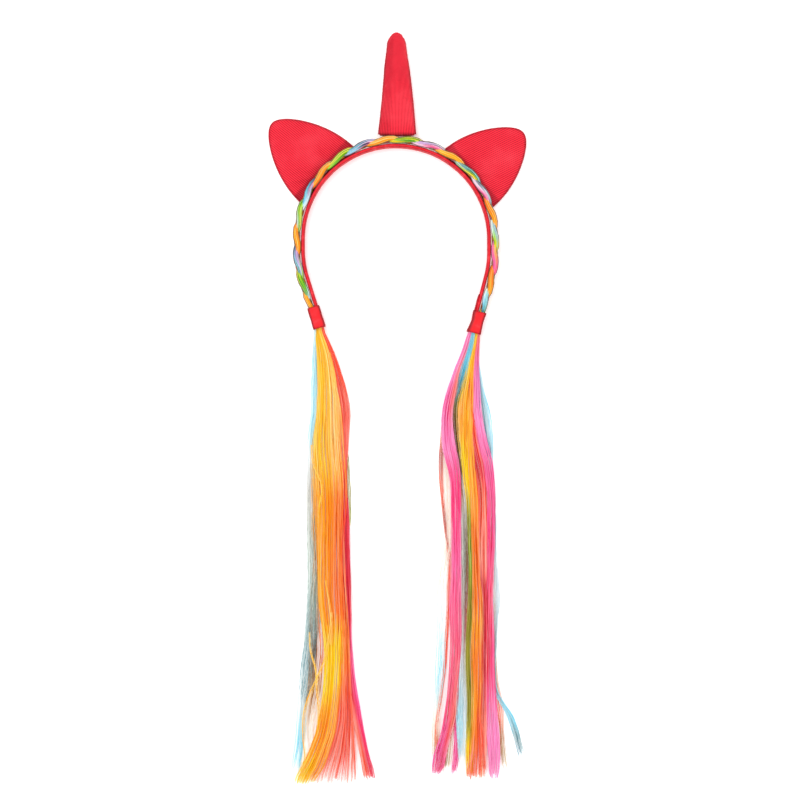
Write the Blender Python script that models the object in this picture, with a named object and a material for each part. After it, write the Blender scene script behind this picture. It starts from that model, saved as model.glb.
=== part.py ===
"""Unicorn headband with braided hair and two long loose tails, lying on its back edge.

Metres. X runs to the wearer's left, Y from the tails to the horn, and Z up from the surface that it lies on.
The origin is under the crown: the middle of the hoop's wall, on its back edge.
"""

import math
from collections import namedtuple

import bmesh
import bpy
from mathutils import Vector

CLEARANCE = 0.0003  # between pieces that touch on the real thing

# Hoop: a springy strip bound in satin, bent to a half circle, with two legs that turn in and then run straight
HOOP_INNER_RADIUS = 0.0639
HOOP_THICKNESS = 0.0024
HOOP_WIDTH = 0.0100
HOOP_END_WIDTH = 0.0074
HOOP_EDGE_CHAMFER = 0.0005
LEG_TAPER_LENGTH = 0.050  # the strip narrows over this much of each leg
# Each leg drops straight, turns in on the hoop's own radius and runs straight to its end; "left" is the photo's
Leg = namedtuple("Leg", "drop turn length")
LEGS = {"left": Leg(0.0075, math.radians(17.2), 0.0625), "right": Leg(0.0095, math.radians(14.5), 0.0658)}
HOOP_STEP = 0.0053  # between two sections of its mesh

# Cuffs: folded ribbon round each leg's end, the braid's end and the root of a tail
CUFF_LENGTH = 0.0155
CUFF_WALL = 0.0010
CUFF_CORNER = 0.0016
CUFF_OVERHANG = 0.0012  # the cuff reaches this far past the leg's end
CUFF_HAIR_ROOM = 0.0039  # what the cuff leaves for hair, measured away from the hoop

# Braid: three strands plaited along the hoop's outer face, at its front edge
BRAID_THICKNESS = 0.0052
BRAID_WIDTH = 0.0068
BRAID_PERIOD = 0.0468  # a strand comes back to the same side after this length
BRAID_STRANDS = 3
BRAID_START_TURN = 0.447  # of a period, where the first strand is at the crown
BRAID_END_SHARE = 0.75  # of its thickness, where a cuff squeezes it
BRAID_SQUEEZE_LENGTH = 0.012  # it thins over this length before each cuff
BRAID_IN_CUFF = 0.0060
BRAID_STEPS_PER_PERIOD = 12
BRAID_SIDES = 8

# Ears: two layers of ribbed cloth over thin wadding, fixed to the hoop behind the braid
Ear = namedtuple("Ear", "turn width height")  # turned from the crown
EARS = {"left": Ear(math.radians(-46.9), 0.0540, 0.0528), "right": Ear(math.radians(50.0), 0.0528, 0.0502)}
EAR_TIP_ROUNDNESS = 0.69  # 1 is an ellipse, less is a sharper ear
EAR_SIDE_POWER = 2.7  # how fast the rest of its width runs out toward the tip
EAR_THICKNESS = 0.0048
EAR_BASE_THICKNESS = 0.0038
EAR_RIM_THICKNESS = 0.0014
EAR_SIDE_STEPS = 11
EAR_BASE_STEPS = 12

# Horn: a flat sewn cloth cone with wadding, on a thin tab behind the braid
HORN_HEIGHT = 0.0728
HORN_BASE_WIDTH = 0.0268
HORN_TOP_WIDTH = 0.0146
HORN_BASE_DEPTH = 0.0128
HORN_TOP_DEPTH = 0.0092
HORN_TIP_LENGTH = 0.0098
HORN_TAB_WIDTH = 0.0230
HORN_TAB_DEPTH = 0.0038
HORN_OFFSET = 0.0007  # from the crown
HORN_SIDES = 20

# Tails: loose hair from each cuff, lying on the surface in flat locks side by side
TAIL_LENGTH = 0.3195  # from the cuff's mouth to the longest tips
TAIL_WIDTH = 0.0440  # across the fullest part
TAIL_THICKNESS = 0.0075
TAIL_ROOT_IN_CUFF = 0.0060
TAIL_OPENING = 0.13  # the hair spreads and comes down to the surface over this share of the length
TAIL_OPENING_ROWS = 5
TAIL_ROWS = 14
TAIL_VALLEY = 0.30  # how far the surface drops between two locks, as a share of their height
LOCK_CUT_SHARE = 0.10  # a lock thins over this last share of its length
LOCK_CUT_DEPTH = 0.55

# Stations down a tail, as shares of its length, where the edges below are placed
STATIONS = (0.0, 0.07, 0.15, 0.30, 0.50, 0.70, 0.88, 1.0)

# Each edge of a lock, from the tail's left outline to its right one: its place at the stations after the first, as
# shares of half the tail's width from the line straight down from the cuff's mouth; the share of the length where
# the two locks beside it part, and the gap between their tips as a share of half the tail's width
Edge = namedtuple("Edge", "opening shoulder upper middle lower ends tip parts gap")
# Each lock: its depth as a share of the tail's thickness, and the share of the length that it reaches
Lock = namedtuple("Lock", "colour depth reach")

TAIL_EDGES = {
    "left": (
        Edge(-0.15, -0.17, -0.33, -0.32, -0.49, -0.63, -0.84, 0.00, 0.00),
        Edge(-0.03, 0.02, -0.16, -0.16, -0.27, -0.43, -0.67, 0.90, 0.02),
        Edge(0.03, 0.10, 0.03, 0.07, -0.01, -0.22, -0.50, 0.92, 0.02),
        Edge(0.16, 0.29, 0.35, 0.35, 0.29, 0.13, 0.01, 0.93, 0.02),
        Edge(0.29, 0.48, 0.57, 0.59, 0.57, 0.48, 0.43, 0.93, 0.02),
        Edge(0.38, 0.64, 0.73, 0.78, 0.80, 0.77, 0.83, 0.88, 0.12),
        Edge(0.50, 0.80, 0.88, 0.94, 0.96, 1.05, 1.37, 0.85, 0.38),
        Edge(0.62, 0.92, 1.00, 1.08, 1.12, 1.37, 1.85, 0.00, 0.00),
    ),
    "right": (
        Edge(-0.65, -1.03, -1.21, -1.05, -1.17, -1.35, -1.43, 0.00, 0.00),
        Edge(-0.59, -0.97, -1.11, -0.95, -1.05, -1.24, -1.34, 0.62, 0.03),
        Edge(-0.41, -0.71, -0.78, -0.62, -0.68, -0.87, -0.86, 0.82, 0.34),
        Edge(-0.27, -0.44, -0.44, -0.36, -0.40, -0.33, -0.27, 0.92, 0.02),
        Edge(-0.16, -0.19, -0.19, -0.11, -0.16, -0.09, -0.13, 0.92, 0.02),
        Edge(-0.08, -0.03, 0.02, 0.13, 0.13, 0.24, 0.25, 0.92, 0.02),
        Edge(-0.01, 0.11, 0.24, 0.34, 0.35, 0.48, 0.49, 0.92, 0.02),
        Edge(0.03, 0.24, 0.43, 0.51, 0.54, 0.75, 1.07, 0.78, 0.60),
        Edge(0.10, 0.35, 0.54, 0.64, 0.70, 1.26, 1.58, 0.00, 0.00),
    ),
}
TAIL_LOCKS = {
    "left": (
        Lock("pale blue", 0.45, 0.985),
        Lock("fawn", 0.55, 0.975),
        Lock("gold", 0.95, 1.000),
        Lock("amber", 1.00, 0.990),
        Lock("orange", 0.85, 0.980),
        Lock("coral", 0.75, 0.985),
        Lock("crimson", 0.50, 0.980),
    ),
    "right": (
        Lock("coral thread", 0.30, 0.950),
        Lock("magenta", 0.65, 0.965),
        Lock("cyan", 0.65, 0.955),
        Lock("yellow", 0.85, 0.960),
        Lock("orange", 1.00, 0.993),
        Lock("coral", 0.90, 0.980),
        Lock("rose", 0.75, 0.955),
        Lock("sky", 0.45, 0.955),
    ),
}

RED = (0.85, 0.035, 0.07)
RED_DEEP = (0.70, 0.02, 0.045)
BRAID_COLOURS = {"gold": (0.95, 0.42, 0.03), "green": (0.50, 0.78, 0.05), "blue": (0.45, 0.72, 0.86)}
TAIL_COLOURS = {"left": (0.95, 0.50, 0.08), "right": (0.93, 0.32, 0.42)}

MID_RADIUS = HOOP_INNER_RADIUS + HOOP_THICKNESS / 2
OUTER_RADIUS = HOOP_INNER_RADIUS + HOOP_THICKNESS
HOOP_CENTRE = Vector((0.0, -MID_RADIUS, 0.0))
ARC_LENGTH = MID_RADIUS * math.pi / 2  # from the crown to where a leg starts
END_CENTRE_Z = CUFF_WALL + CLEARANCE + HOOP_END_WIDTH / 2
SIDES = {"left": -1, "right": 1}


def smooth(share):
    """0 to 1, level at both ends."""
    share = min(1.0, max(0.0, share))
    return share * share * (3 - 2 * share)


def mix(start, end, share):
    return start + (end - start) * share


def side_of(length):
    return "left" if length < 0 else "right"


def hoop_length(side):
    """From the crown to a leg's end."""
    return ARC_LENGTH + LEGS[side].length


def hoop_frame(length):
    """Point on the middle of the hoop's wall, its outward direction and its direction of travel, at a signed length
    from the crown; the photo's left is negative."""
    leg = LEGS[side_of(length)]
    runs = ((ARC_LENGTH, math.pi / 2), (leg.drop, 0.0), (MID_RADIUS * leg.turn, leg.turn), (leg.length, 0.0))
    left_over = abs(length)
    point = Vector((0.0, 0.0, 0.0))
    turn = 0.0
    for run, bend in runs:
        part = min(left_over, run)
        ahead = Vector((math.cos(turn), -math.sin(turn), 0.0))
        if bend == 0.0:
            point += ahead * part
        else:
            angle = bend * part / run
            radius = run / bend
            inward = Vector((ahead.y, -ahead.x, 0.0))
            point += ahead * radius * math.sin(angle) + inward * radius * (1 - math.cos(angle))
            turn += angle
        left_over -= part
    out = Vector((math.sin(turn), math.cos(turn), 0.0))
    travel = Vector((math.cos(turn), -math.sin(turn), 0.0))
    mirror = Vector((SIDES[side_of(length)], 1.0, 1.0))
    return point * mirror, out * mirror, travel * mirror


def new_object(name, mesh, colour, roughness, smooth_angle=None):
    mesh.name = name
    thing = bpy.data.objects.new(name, mesh)
    bpy.context.scene.collection.objects.link(thing)
    material = bpy.data.materials.new(name)
    material.use_nodes = True
    shader = material.node_tree.nodes["Principled BSDF"]
    shader.inputs["Base Color"].default_value = (*colour, 1.0)
    shader.inputs["Roughness"].default_value = roughness
    shader.inputs["Metallic"].default_value = 0.0
    thing.data.materials.append(material)
    if smooth_angle is not None:
        mesh.shade_smooth()
        mesh.set_sharp_from_angle(angle=smooth_angle)
    return thing


def finish(bm, name):
    bmesh.ops.recalc_face_normals(bm, faces=bm.faces)
    mesh = bpy.data.meshes.new(name)
    bm.to_mesh(mesh)
    bm.free()
    return mesh


def skin_rings(bm, rings):
    """Faces between each ring of corners and the next."""
    for near, far in zip(rings, rings[1:]):
        count = len(near)
        for i in range(count):
            j = (i + 1) % count
            bm.faces.new((near[i], near[j], far[j], far[i]))


def close_end(bm, ring):
    """Strips across a ring whose second half mirrors its first, so that a curved end stays curved."""
    half = len(ring) // 2
    bm.faces.new((ring[0], ring[1], ring[-1]))
    bm.faces.new((ring[half - 1], ring[half], ring[half + 1]))
    for i in range(1, half - 1):
        bm.faces.new((ring[i], ring[i + 1], ring[-i - 1], ring[-i]))


def loft(name, rings):
    """Closed mesh through rings of points."""
    bm = bmesh.new()
    corners = [[bm.verts.new(point) for point in ring] for ring in rings]
    skin_rings(bm, corners)
    close_end(bm, corners[0])
    close_end(bm, corners[-1])
    return finish(bm, name)


def steps_between(start, end, step):
    count = max(1, round((end - start) / step))
    return [mix(start, end, i / count) for i in range(count + 1)]


def tapered(length):
    """Share of a leg's taper that lies behind a point on the hoop."""
    start = hoop_length(side_of(length)) - LEG_TAPER_LENGTH
    return smooth((abs(length) - start) / LEG_TAPER_LENGTH)


def make_hoop():
    rings = []
    half_wall = HOOP_THICKNESS / 2
    bevel = min(HOOP_EDGE_CHAMFER, 0.8 * half_wall)
    for length in steps_between(-hoop_length("left"), hoop_length("right"), HOOP_STEP):
        point, out, _ = hoop_frame(length)
        half = mix(HOOP_WIDTH, HOOP_END_WIDTH, tapered(length)) / 2
        middle = mix(HOOP_WIDTH / 2, END_CENTRE_Z, tapered(length))
        section = (
            (half_wall, bevel - half),
            (half_wall, half - bevel),
            (half_wall - bevel, half),
            (bevel - half_wall, half),
            (-half_wall, half - bevel),
            (-half_wall, bevel - half),
            (bevel - half_wall, -half),
            (half_wall - bevel, -half),
        )
        rings.append([point + out * across + Vector((0, 0, middle + up)) for across, up in section])
    return new_object("hoop", loft("hoop", rings), RED_DEEP, 0.45, math.radians(30))


def rounded_rectangle(low, high, bottom, top, corner):
    """Corners of a rectangle with each corner cut in two steps."""
    cut = 0.3 * corner
    return (
        (low, bottom + corner),
        (low + cut, bottom + cut),
        (low + corner, bottom),
        (high - corner, bottom),
        (high - cut, bottom + cut),
        (high, bottom + corner),
        (high, top - corner),
        (high - cut, top - cut),
        (high - corner, top),
        (low + corner, top),
        (low + cut, top - cut),
        (low, top - corner),
    )


def cuff_room():
    """Inner box of a cuff: from the hoop's inner face outward, and from its lower edge up."""
    low = -HOOP_THICKNESS / 2 - CLEARANCE
    high = HOOP_THICKNESS / 2 + CUFF_HAIR_ROOM + 2 * CLEARANCE
    half = HOOP_END_WIDTH / 2 + CLEARANCE
    return low, high, END_CENTRE_Z - half, END_CENTRE_Z + half


def cuff_end(side):
    return hoop_length(side) + CUFF_OVERHANG


def make_cuff(side, flare):
    """A sleeve along the leg; flare widens it at shares of its length, as shares of its wall."""
    name = f"cuff_{side}"
    low, high, bottom, top = cuff_room()
    bm = bmesh.new()
    inner_rings = []
    outer_rings = []
    for share, widening in flare:
        point, out, _ = hoop_frame(SIDES[side] * (cuff_end(side) - CUFF_LENGTH * (1 - share)))
        wall = CUFF_WALL
        spread = CUFF_WALL * widening
        inner = rounded_rectangle(low - spread, high + spread, bottom, top, 0.4 * CUFF_CORNER)
        outer = rounded_rectangle(
            low - wall - spread, high + wall + spread, bottom - wall, top + wall, CUFF_CORNER
        )
        for rings, section in ((inner_rings, inner), (outer_rings, outer)):
            rings.append([bm.verts.new(point + out * across + Vector((0, 0, up))) for across, up in section])
    skin_rings(bm, inner_rings)
    skin_rings(bm, outer_rings)
    for end in (0, -1):
        skin_rings(bm, [inner_rings[end], outer_rings[end]])
    return new_object(name, finish(bm, name), RED, 0.4, math.radians(50))


def near_cuff(length):
    """0 along the hoop, and 1 from where the braid runs into a cuff."""
    start = cuff_end(side_of(length)) - CUFF_LENGTH - BRAID_SQUEEZE_LENGTH
    return smooth((abs(length) - start) / BRAID_SQUEEZE_LENGTH)


def strand_diameter(size):
    """Largest strand that passes the next one with a clearance, in a braid of this share of its full size."""
    thinnest, thickest = 0.0, BRAID_THICKNESS * size
    for _ in range(12):
        thick = (thinnest + thickest) / 2
        out = math.sqrt(3) / 2 * (BRAID_THICKNESS * size - thick)
        up = math.sqrt(3) / 2 * (BRAID_WIDTH * size - thick)
        turns = [math.pi / 2 * i / 24 for i in range(25)]
        gap = min(math.hypot(up * math.cos(turn), out * math.cos(2 * turn)) for turn in turns)
        if 0.96 * gap > thick + CLEARANCE:
            thinnest = thick
        else:
            thickest = thick
    return thinnest


def strand_point(length, shift):
    """Middle of a strand: side to side once a period, and in and out twice."""
    size = mix(1.0, BRAID_END_SHARE, near_cuff(length))
    turn = 2 * math.pi * (length / BRAID_PERIOD + shift)
    thickness = BRAID_THICKNESS * size
    thick = strand_diameter(size)
    swing_out = (thickness - thick) / 2
    swing_up = (BRAID_WIDTH * size - thick) / 2
    point, out, _ = hoop_frame(length)
    outward = HOOP_THICKNESS / 2 + CLEARANCE + thickness / 2 - swing_out * math.sin(2 * turn)
    before_ears = CLEARANCE + EAR_BASE_THICKNESS + CLEARANCE + BRAID_WIDTH / 2
    upward = mix(before_ears, END_CENTRE_Z, near_cuff(length)) + swing_up * math.sin(turn)
    return point + out * outward + Vector((0, 0, upward))


def tube(name, points, radii, sides, flat=1.0):
    """Closed tube along points; flat squashes its height."""
    rings = []
    for i, point in enumerate(points):
        before = points[max(0, i - 1)]
        after = points[min(len(points) - 1, i + 1)]
        along = (after - before).normalized()
        across = along.cross(Vector((0, 0, 1))).normalized()
        up = across.cross(along).normalized()
        rings.append(
            [
                point
                + across * radii[i] * math.cos(2 * math.pi * k / sides)
                + up * radii[i] * flat * math.sin(2 * math.pi * k / sides)
                for k in range(sides)
            ]
        )
    return loft(name, rings)


def make_strand(number, colour):
    start, end = (cuff_end(side) - CUFF_LENGTH + BRAID_IN_CUFF for side in SIDES)
    lengths = steps_between(-start, end, BRAID_PERIOD / BRAID_STEPS_PER_PERIOD)
    shift = BRAID_START_TURN - number / BRAID_STRANDS
    points = [strand_point(length, shift) for length in lengths]
    radii = [strand_diameter(mix(1.0, BRAID_END_SHARE, near_cuff(length))) / 2 for length in lengths]
    name = f"braid_strand_{number + 1}"
    return new_object(name, tube(name, points, radii, BRAID_SIDES), colour, 0.35, math.radians(60))


def ear_outline(ear):
    """Half width and height above the hoop's outer face, from one corner of the base round the tip to the other."""
    turns = [math.pi / 2 * i / EAR_SIDE_STEPS for i in range(EAR_SIDE_STEPS + 1)]
    side = []
    for turn in turns:
        ellipse = max(0.0, math.cos(turn))
        share = mix(ellipse**EAR_SIDE_POWER, ellipse, EAR_TIP_ROUNDNESS)
        side.append((ear.width / 2 * share, ear.height * math.sin(turn)))
    right = [(width, OUTER_RADIUS + height) for width, height in side]
    left = [(-width, height) for width, height in reversed(right[:-1])]
    base_radius = OUTER_RADIUS + CLEARANCE
    corner = math.asin(ear.width / 2 / base_radius)
    base = [mix(-corner, corner, i / EAR_BASE_STEPS) for i in range(EAR_BASE_STEPS + 1)]
    return right + left + [(base_radius * math.sin(turn), base_radius * math.cos(turn)) for turn in base]


def make_ear(side):
    """A flat cushion: its rim is a thin seam, and it is fullest in the middle and thin enough at its base for the braid
    to pass in front."""
    name = f"ear_{side}"
    ear = EARS[side]
    outline = ear_outline(ear)
    heart = (0.0, OUTER_RADIUS + 0.42 * ear.height)
    spin = Vector((math.sin(ear.turn), math.cos(ear.turn), 0.0))
    cross = Vector((spin.y, -spin.x, 0.0))
    bm = bmesh.new()

    def place(width, height, up):
        flat = HOOP_CENTRE + spin * height + cross * width
        return bm.verts.new(flat + Vector((0, 0, up)))

    def thickness(share, height):
        """Full thickness at a share of the way in from the rim."""
        near_base = 1 - smooth((height - OUTER_RADIUS - BRAID_THICKNESS) / (0.2 * ear.height))
        fullest = mix(EAR_THICKNESS, EAR_BASE_THICKNESS, near_base)
        return mix(EAR_RIM_THICKNESS, fullest, math.sqrt(1 - (1 - share) ** 2))

    shares = (0.0, 0.10, 0.30, 0.62)
    centre_z = CLEARANCE + EAR_BASE_THICKNESS / 2
    sides = []
    for front in (-1, 1):
        rings = []
        for share in shares:
            ring = []
            for width, height in outline:
                inner_width = mix(width, heart[0], share)
                inner_height = mix(height, heart[1], share)
                thick = thickness(share, inner_height)
                up = centre_z + front * thick / 2
                ring.append(place(inner_width, inner_height, max(up, CLEARANCE / 2)))
            rings.append(ring)
        skin_rings(bm, rings)
        middle = place(*heart, max(centre_z + front * EAR_THICKNESS / 2, CLEARANCE / 2))
        last = rings[-1]
        for i in range(len(last)):
            bm.faces.new((last[i], last[(i + 1) % len(last)], middle))
        sides.append(rings[0])
    skin_rings(bm, sides)
    return new_object(name, finish(bm, name), RED, 0.75, math.radians(60))


def horn_sections():
    """Height above the hoop's outer face, width, depth and lowest point of each section."""
    tab_top = BRAID_THICKNESS + 2 * CLEARANCE
    straight = HORN_HEIGHT - HORN_TIP_LENGTH
    sections = [
        (CLEARANCE, HORN_TAB_WIDTH, HORN_TAB_DEPTH),
        (tab_top, HORN_TAB_WIDTH, HORN_TAB_DEPTH),
        (tab_top + CLEARANCE, 0.95 * HORN_BASE_WIDTH, 0.80 * HORN_BASE_DEPTH),
        (tab_top + 0.0015, HORN_BASE_WIDTH, HORN_BASE_DEPTH),
    ]
    for share in (0.25, 0.5, 0.75, 1.0):
        width = mix(HORN_BASE_WIDTH, HORN_TOP_WIDTH, share)
        depth = mix(HORN_BASE_DEPTH, HORN_TOP_DEPTH, share)
        sections.append((tab_top + straight * share, width, depth))
    for turn in (25, 48, 68, 84):
        rise = HORN_TIP_LENGTH * math.sin(math.radians(turn))
        size = math.cos(math.radians(turn))
        sections.append((tab_top + straight + rise, HORN_TOP_WIDTH * size, HORN_TOP_DEPTH * size))
    return sections


def make_horn():
    """Oval sections, lying with their backs near the surface."""
    rings = []
    top = HORN_HEIGHT + BRAID_THICKNESS + 2 * CLEARANCE
    rest = CLEARANCE / 2
    for height, width, depth in horn_sections():
        round_tip = smooth((height - (top - HORN_TIP_LENGTH)) / HORN_TIP_LENGTH)
        middle = mix(rest + depth / 2, rest + HORN_TOP_DEPTH / 2, round_tip)
        ring = []
        for k in range(HORN_SIDES):
            turn = 2 * math.pi * k / HORN_SIDES
            across = HORN_OFFSET + width / 2 * math.cos(turn)
            drop = 0.0
            if height < BRAID_THICKNESS:
                reach = OUTER_RADIUS + height
                drop = reach - math.sqrt(reach**2 - across**2)
            up = middle + depth / 2 * math.sin(turn)
            ring.append(Vector((across, HOOP_THICKNESS / 2 + height - drop, up)))
        rings.append(ring)
    return new_object("horn", loft("horn", rings), RED, 0.75, math.radians(50))


def curve_value(values, share):
    """Smooth value at a share of the length through one value for each station."""
    last = len(STATIONS) - 1
    i = 0
    while i < last - 1 and share > STATIONS[i + 1]:
        i += 1
    start, end = STATIONS[i], STATIONS[i + 1]
    before = values[max(0, i - 1)]
    after = values[min(last, i + 2)]
    span = end - start
    lead = (values[i + 1] - before) / (end - STATIONS[max(0, i - 1)]) * span
    trail = (after - values[i]) / (STATIONS[min(last, i + 2)] - start) * span
    t = min(1.0, max(0.0, (share - start) / span))
    return (
        (2 * t**3 - 3 * t**2 + 1) * values[i]
        + (t**3 - 2 * t**2 + t) * lead
        + (3 * t**2 - 2 * t**3) * values[i + 1]
        + (t**3 - t**2) * trail
    )


def tail_mouth(side):
    """Middle of the hair where it leaves a cuff, and the leg's direction there."""
    point, out, travel = hoop_frame(SIDES[side] * cuff_end(side))
    outward = HOOP_THICKNESS / 2 + CLEARANCE + CUFF_HAIR_ROOM / 2
    return point + out * outward + Vector((0, 0, END_CENTRE_Z)), travel


def tail_rows():
    """Shares of the length where a tail has a row of points: closer together where it opens."""
    near = [TAIL_OPENING * (i / TAIL_OPENING_ROWS) ** 1.6 for i in range(TAIL_OPENING_ROWS)]
    return [-TAIL_ROOT_IN_CUFF / TAIL_LENGTH] + near + steps_between(TAIL_OPENING, 1.0, (1 - TAIL_OPENING) / TAIL_ROWS)


def tail_point(side, share, across, up):
    """Down the leg's own line where the hair leaves the cuff, then straight down."""
    mouth, travel = tail_mouth(side)
    sideways = Vector((-travel.y, travel.x, 0.0))
    reach = TAIL_LENGTH * share
    leaving = mouth + travel * reach + sideways * across
    falling = mouth + Vector((across, -reach, 0.0))
    point = leaving.lerp(falling, smooth(share / (0.5 * TAIL_OPENING)))
    return Vector((point.x, point.y, up))


def tail_heights(share, depth):
    """Lowest and highest part of a lock: as high as the leg in the cuff, and down on the surface past its opening."""
    opened = smooth(share / TAIL_OPENING)
    half = 0.45 * HOOP_END_WIDTH
    low = mix(END_CENTRE_Z - half, CLEARANCE / 2, opened)
    high = mix(END_CENTRE_Z + half, CLEARANCE / 2 + depth * TAIL_THICKNESS, opened)
    return low, high


def make_tail(side, colour):
    """A sheet of locks, each with its own ridge, parted from each other toward their tips."""
    locks = TAIL_LOCKS[side]
    edges = TAIL_EDGES[side]
    half_width = TAIL_WIDTH / 2
    rows = tail_rows()
    bm = bmesh.new()
    shared = {}

    def parted(number, share):
        return number in (0, len(locks)) or share > edges[number].parts

    def across(number, lock_number, share):
        """Where a lock has one of its edges; in the cuff, the edges share out its room."""
        edge = edges[number]
        root = 0.9 * CUFF_HAIR_ROOM / half_width * (number / len(locks) - 0.5)
        place = curve_value((root, *edge[: len(STATIONS) - 1]), max(0.0, share))
        spread = max(0.0, share - edge.parts) / (1 - edge.parts) * edge.gap / 2
        return half_width * (place + (spread if lock_number == number else -spread))

    def edge_pair(number, lock_number, share, depth):
        """Lower and upper corner on a lock's edge: its own where it has parted, and otherwise shared."""
        key = (number, share, lock_number if parted(number, share) else None)
        if key not in shared:
            if key[2] is None:
                depth = (locks[number - 1].depth + locks[number].depth) / 2
            low, high = tail_heights(share, depth)
            drop = TAIL_VALLEY * (high - low)
            place = across(number, lock_number, share)
            shared[key] = [bm.verts.new(tail_point(side, share, place, up)) for up in (low + drop / 3, high - drop)]
        return shared[key]

    for number, lock in enumerate(locks):
        rings = []
        shares = rows[:-1] + [lock.reach]
        for share in shares:
            cut = smooth(1 - (lock.reach - share) / LOCK_CUT_SHARE)
            depth = lock.depth * mix(1.0, LOCK_CUT_DEPTH, cut)
            low, high = tail_heights(share, depth)
            left = edge_pair(number, number, share, depth)
            right = edge_pair(number + 1, number, share, depth)
            start, end = (across(i, number, share) for i in (number, number + 1))
            ridge = [
                bm.verts.new(tail_point(side, share, mix(start, end, part), up))
                for part, up in ((0.28, low), (0.72, low), (0.72, high), (0.28, high))
            ]
            rings.append([left[0], ridge[0], ridge[1], right[0], right[1], ridge[2], ridge[3], left[1]])
        for i, (near, far) in enumerate(zip(rings, rings[1:])):
            hidden = [k for k, edge in ((3, number + 1), (7, number)) if not parted(edge, shares[i + 1])]
            for k in range(8):
                if k not in hidden:
                    bm.faces.new((near[k], near[(k + 1) % 8], far[(k + 1) % 8], far[k]))
        bm.faces.new(rings[0])
        bm.faces.new(rings[-1])
    name = f"tail_{side}"
    return new_object(name, finish(bm, name), colour, 0.3, math.radians(60))


def main():
    for thing in list(bpy.data.objects):
        bpy.data.objects.remove(thing)
    make_hoop()
    for number, colour in enumerate(BRAID_COLOURS.values()):
        make_strand(number, colour)
    for side in SIDES:
        make_ear(side)
    make_horn()
    make_cuff("left", ((0.0, 0.0), (0.5, -0.1), (1.0, 0.1)))
    make_cuff("right", ((0.0, 0.3), (0.45, -0.2), (1.0, 1.2)))
    for side, colour in TAIL_COLOURS.items():
        make_tail(side, colour)


main()
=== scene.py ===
# Unicorn horn headband with a plait of coloured hair and two loose tails, lying flat and seen from above
import math

import bmesh
import bpy
import numpy as np
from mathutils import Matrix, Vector, noise


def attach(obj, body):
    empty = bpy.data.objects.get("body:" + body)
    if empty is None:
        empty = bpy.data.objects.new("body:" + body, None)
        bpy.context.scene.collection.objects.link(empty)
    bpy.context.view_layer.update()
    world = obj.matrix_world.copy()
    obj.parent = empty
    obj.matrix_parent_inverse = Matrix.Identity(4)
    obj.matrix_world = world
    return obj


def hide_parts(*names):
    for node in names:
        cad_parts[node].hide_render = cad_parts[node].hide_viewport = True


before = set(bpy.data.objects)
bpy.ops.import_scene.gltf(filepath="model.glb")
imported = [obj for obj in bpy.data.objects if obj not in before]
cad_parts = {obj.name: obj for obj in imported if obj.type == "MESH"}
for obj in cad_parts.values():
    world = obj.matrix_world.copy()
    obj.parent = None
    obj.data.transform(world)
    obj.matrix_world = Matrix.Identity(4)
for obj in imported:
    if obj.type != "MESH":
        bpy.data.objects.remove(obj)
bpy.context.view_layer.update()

mm = 0.001
sideSign = {"left": -1, "right": 1}  # left and right as the camera sees them


def clamp(value, low=0.0, high=1.0):
    return min(high, max(low, value))


def smooth(share):
    share = clamp(share)
    return share * share * (3 - 2 * share)


def mix(start, end, share):
    return start + (end - start) * share


def turns(count):  # angles all the way round
    return [2 * math.pi * k / count for k in range(count)]


def paint(red, green, blue):  # a colour as seen on a screen, as linear light
    linear = [((c / 255 + 0.055) / 1.055) ** 2.4 if c > 10 else c / 255 / 12.92 for c in (red, green, blue)]
    return (*linear, 1.0)


class Flow:  # one output of a node, which adds up like a number
    def __init__(self, maker, socket):
        self.maker = maker
        self.socket = socket

    def maths(self, operation, *values):
        return self.maker.node("ShaderNodeMath", {"operation": operation}, dict(enumerate(values)))

    def __add__(self, other):
        return self.maths("ADD", self, other)

    def __mul__(self, other):
        return self.maths("MULTIPLY", self, other)

    def __sub__(self, other):
        return self.maths("SUBTRACT", self, other)

    def __rsub__(self, other):
        return self.maths("SUBTRACT", other, self)

    def __truediv__(self, other):
        return self.maths("DIVIDE", self, other)

    def __pow__(self, other):
        return self.maths("POWER", self, other)

    __radd__ = __add__
    __rmul__ = __mul__

    def call(self, operation, *others):
        return self.maths(operation, self, *others)

    def within(self, low=0.0, high=1.0):
        return self.call("MAXIMUM", low).call("MINIMUM", high)


class Maker:
    def __init__(self, tree):
        self.tree = tree

    def node(self, kind, settings=None, values=None, out=0):
        made = self.tree.nodes.new(kind)
        for name, value in (settings or {}).items():
            if name == "stops":
                ramp = made.color_ramp
                ramp.elements.remove(ramp.elements[1])
                ramp.elements[0].position, ramp.elements[0].color = value[0]
                for place, colour in value[1:]:
                    ramp.elements.new(place).color = colour
            else:
                setattr(made, name, value)
        for name, value in (values or {}).items():
            if isinstance(name, int):
                socket = made.inputs[name]
            else:
                socket = next((s for s in made.inputs if s.identifier == name), None) or made.inputs[name]
            if isinstance(value, Flow):
                self.tree.links.new(value.socket, socket)
            elif value is not None:
                socket.default_value = value
        return Flow(self, made.outputs[out])

    def blend(self, share, first, second, kind="MIX"):
        settings = {"data_type": "RGBA", "blend_type": kind}
        return self.node("ShaderNodeMix", settings, {"Factor_Float": share, "A_Color": first, "B_Color": second}, 2)

    def noise(self, vector, scale, detail=2.0, roughness=0.5, out=0):
        values = {"Vector": vector, "Scale": scale, "Detail": detail, "Roughness": roughness}
        return self.node("ShaderNodeTexNoise", None, values, out)

    def vector(self, x, y, z=0.0):
        return self.node("ShaderNodeCombineXYZ", None, {"X": x, "Y": y, "Z": z})

    def vectorMaths(self, operation, first, second):
        name = "Scale" if operation == "SCALE" else 1
        return self.node("ShaderNodeVectorMath", {"operation": operation}, {0: first, name: second})

    def split(self, vector):
        parts = self.node("ShaderNodeSeparateXYZ", None, {"Vector": vector})
        return [Flow(self, parts.socket.node.outputs[i]) for i in range(3)]


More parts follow.
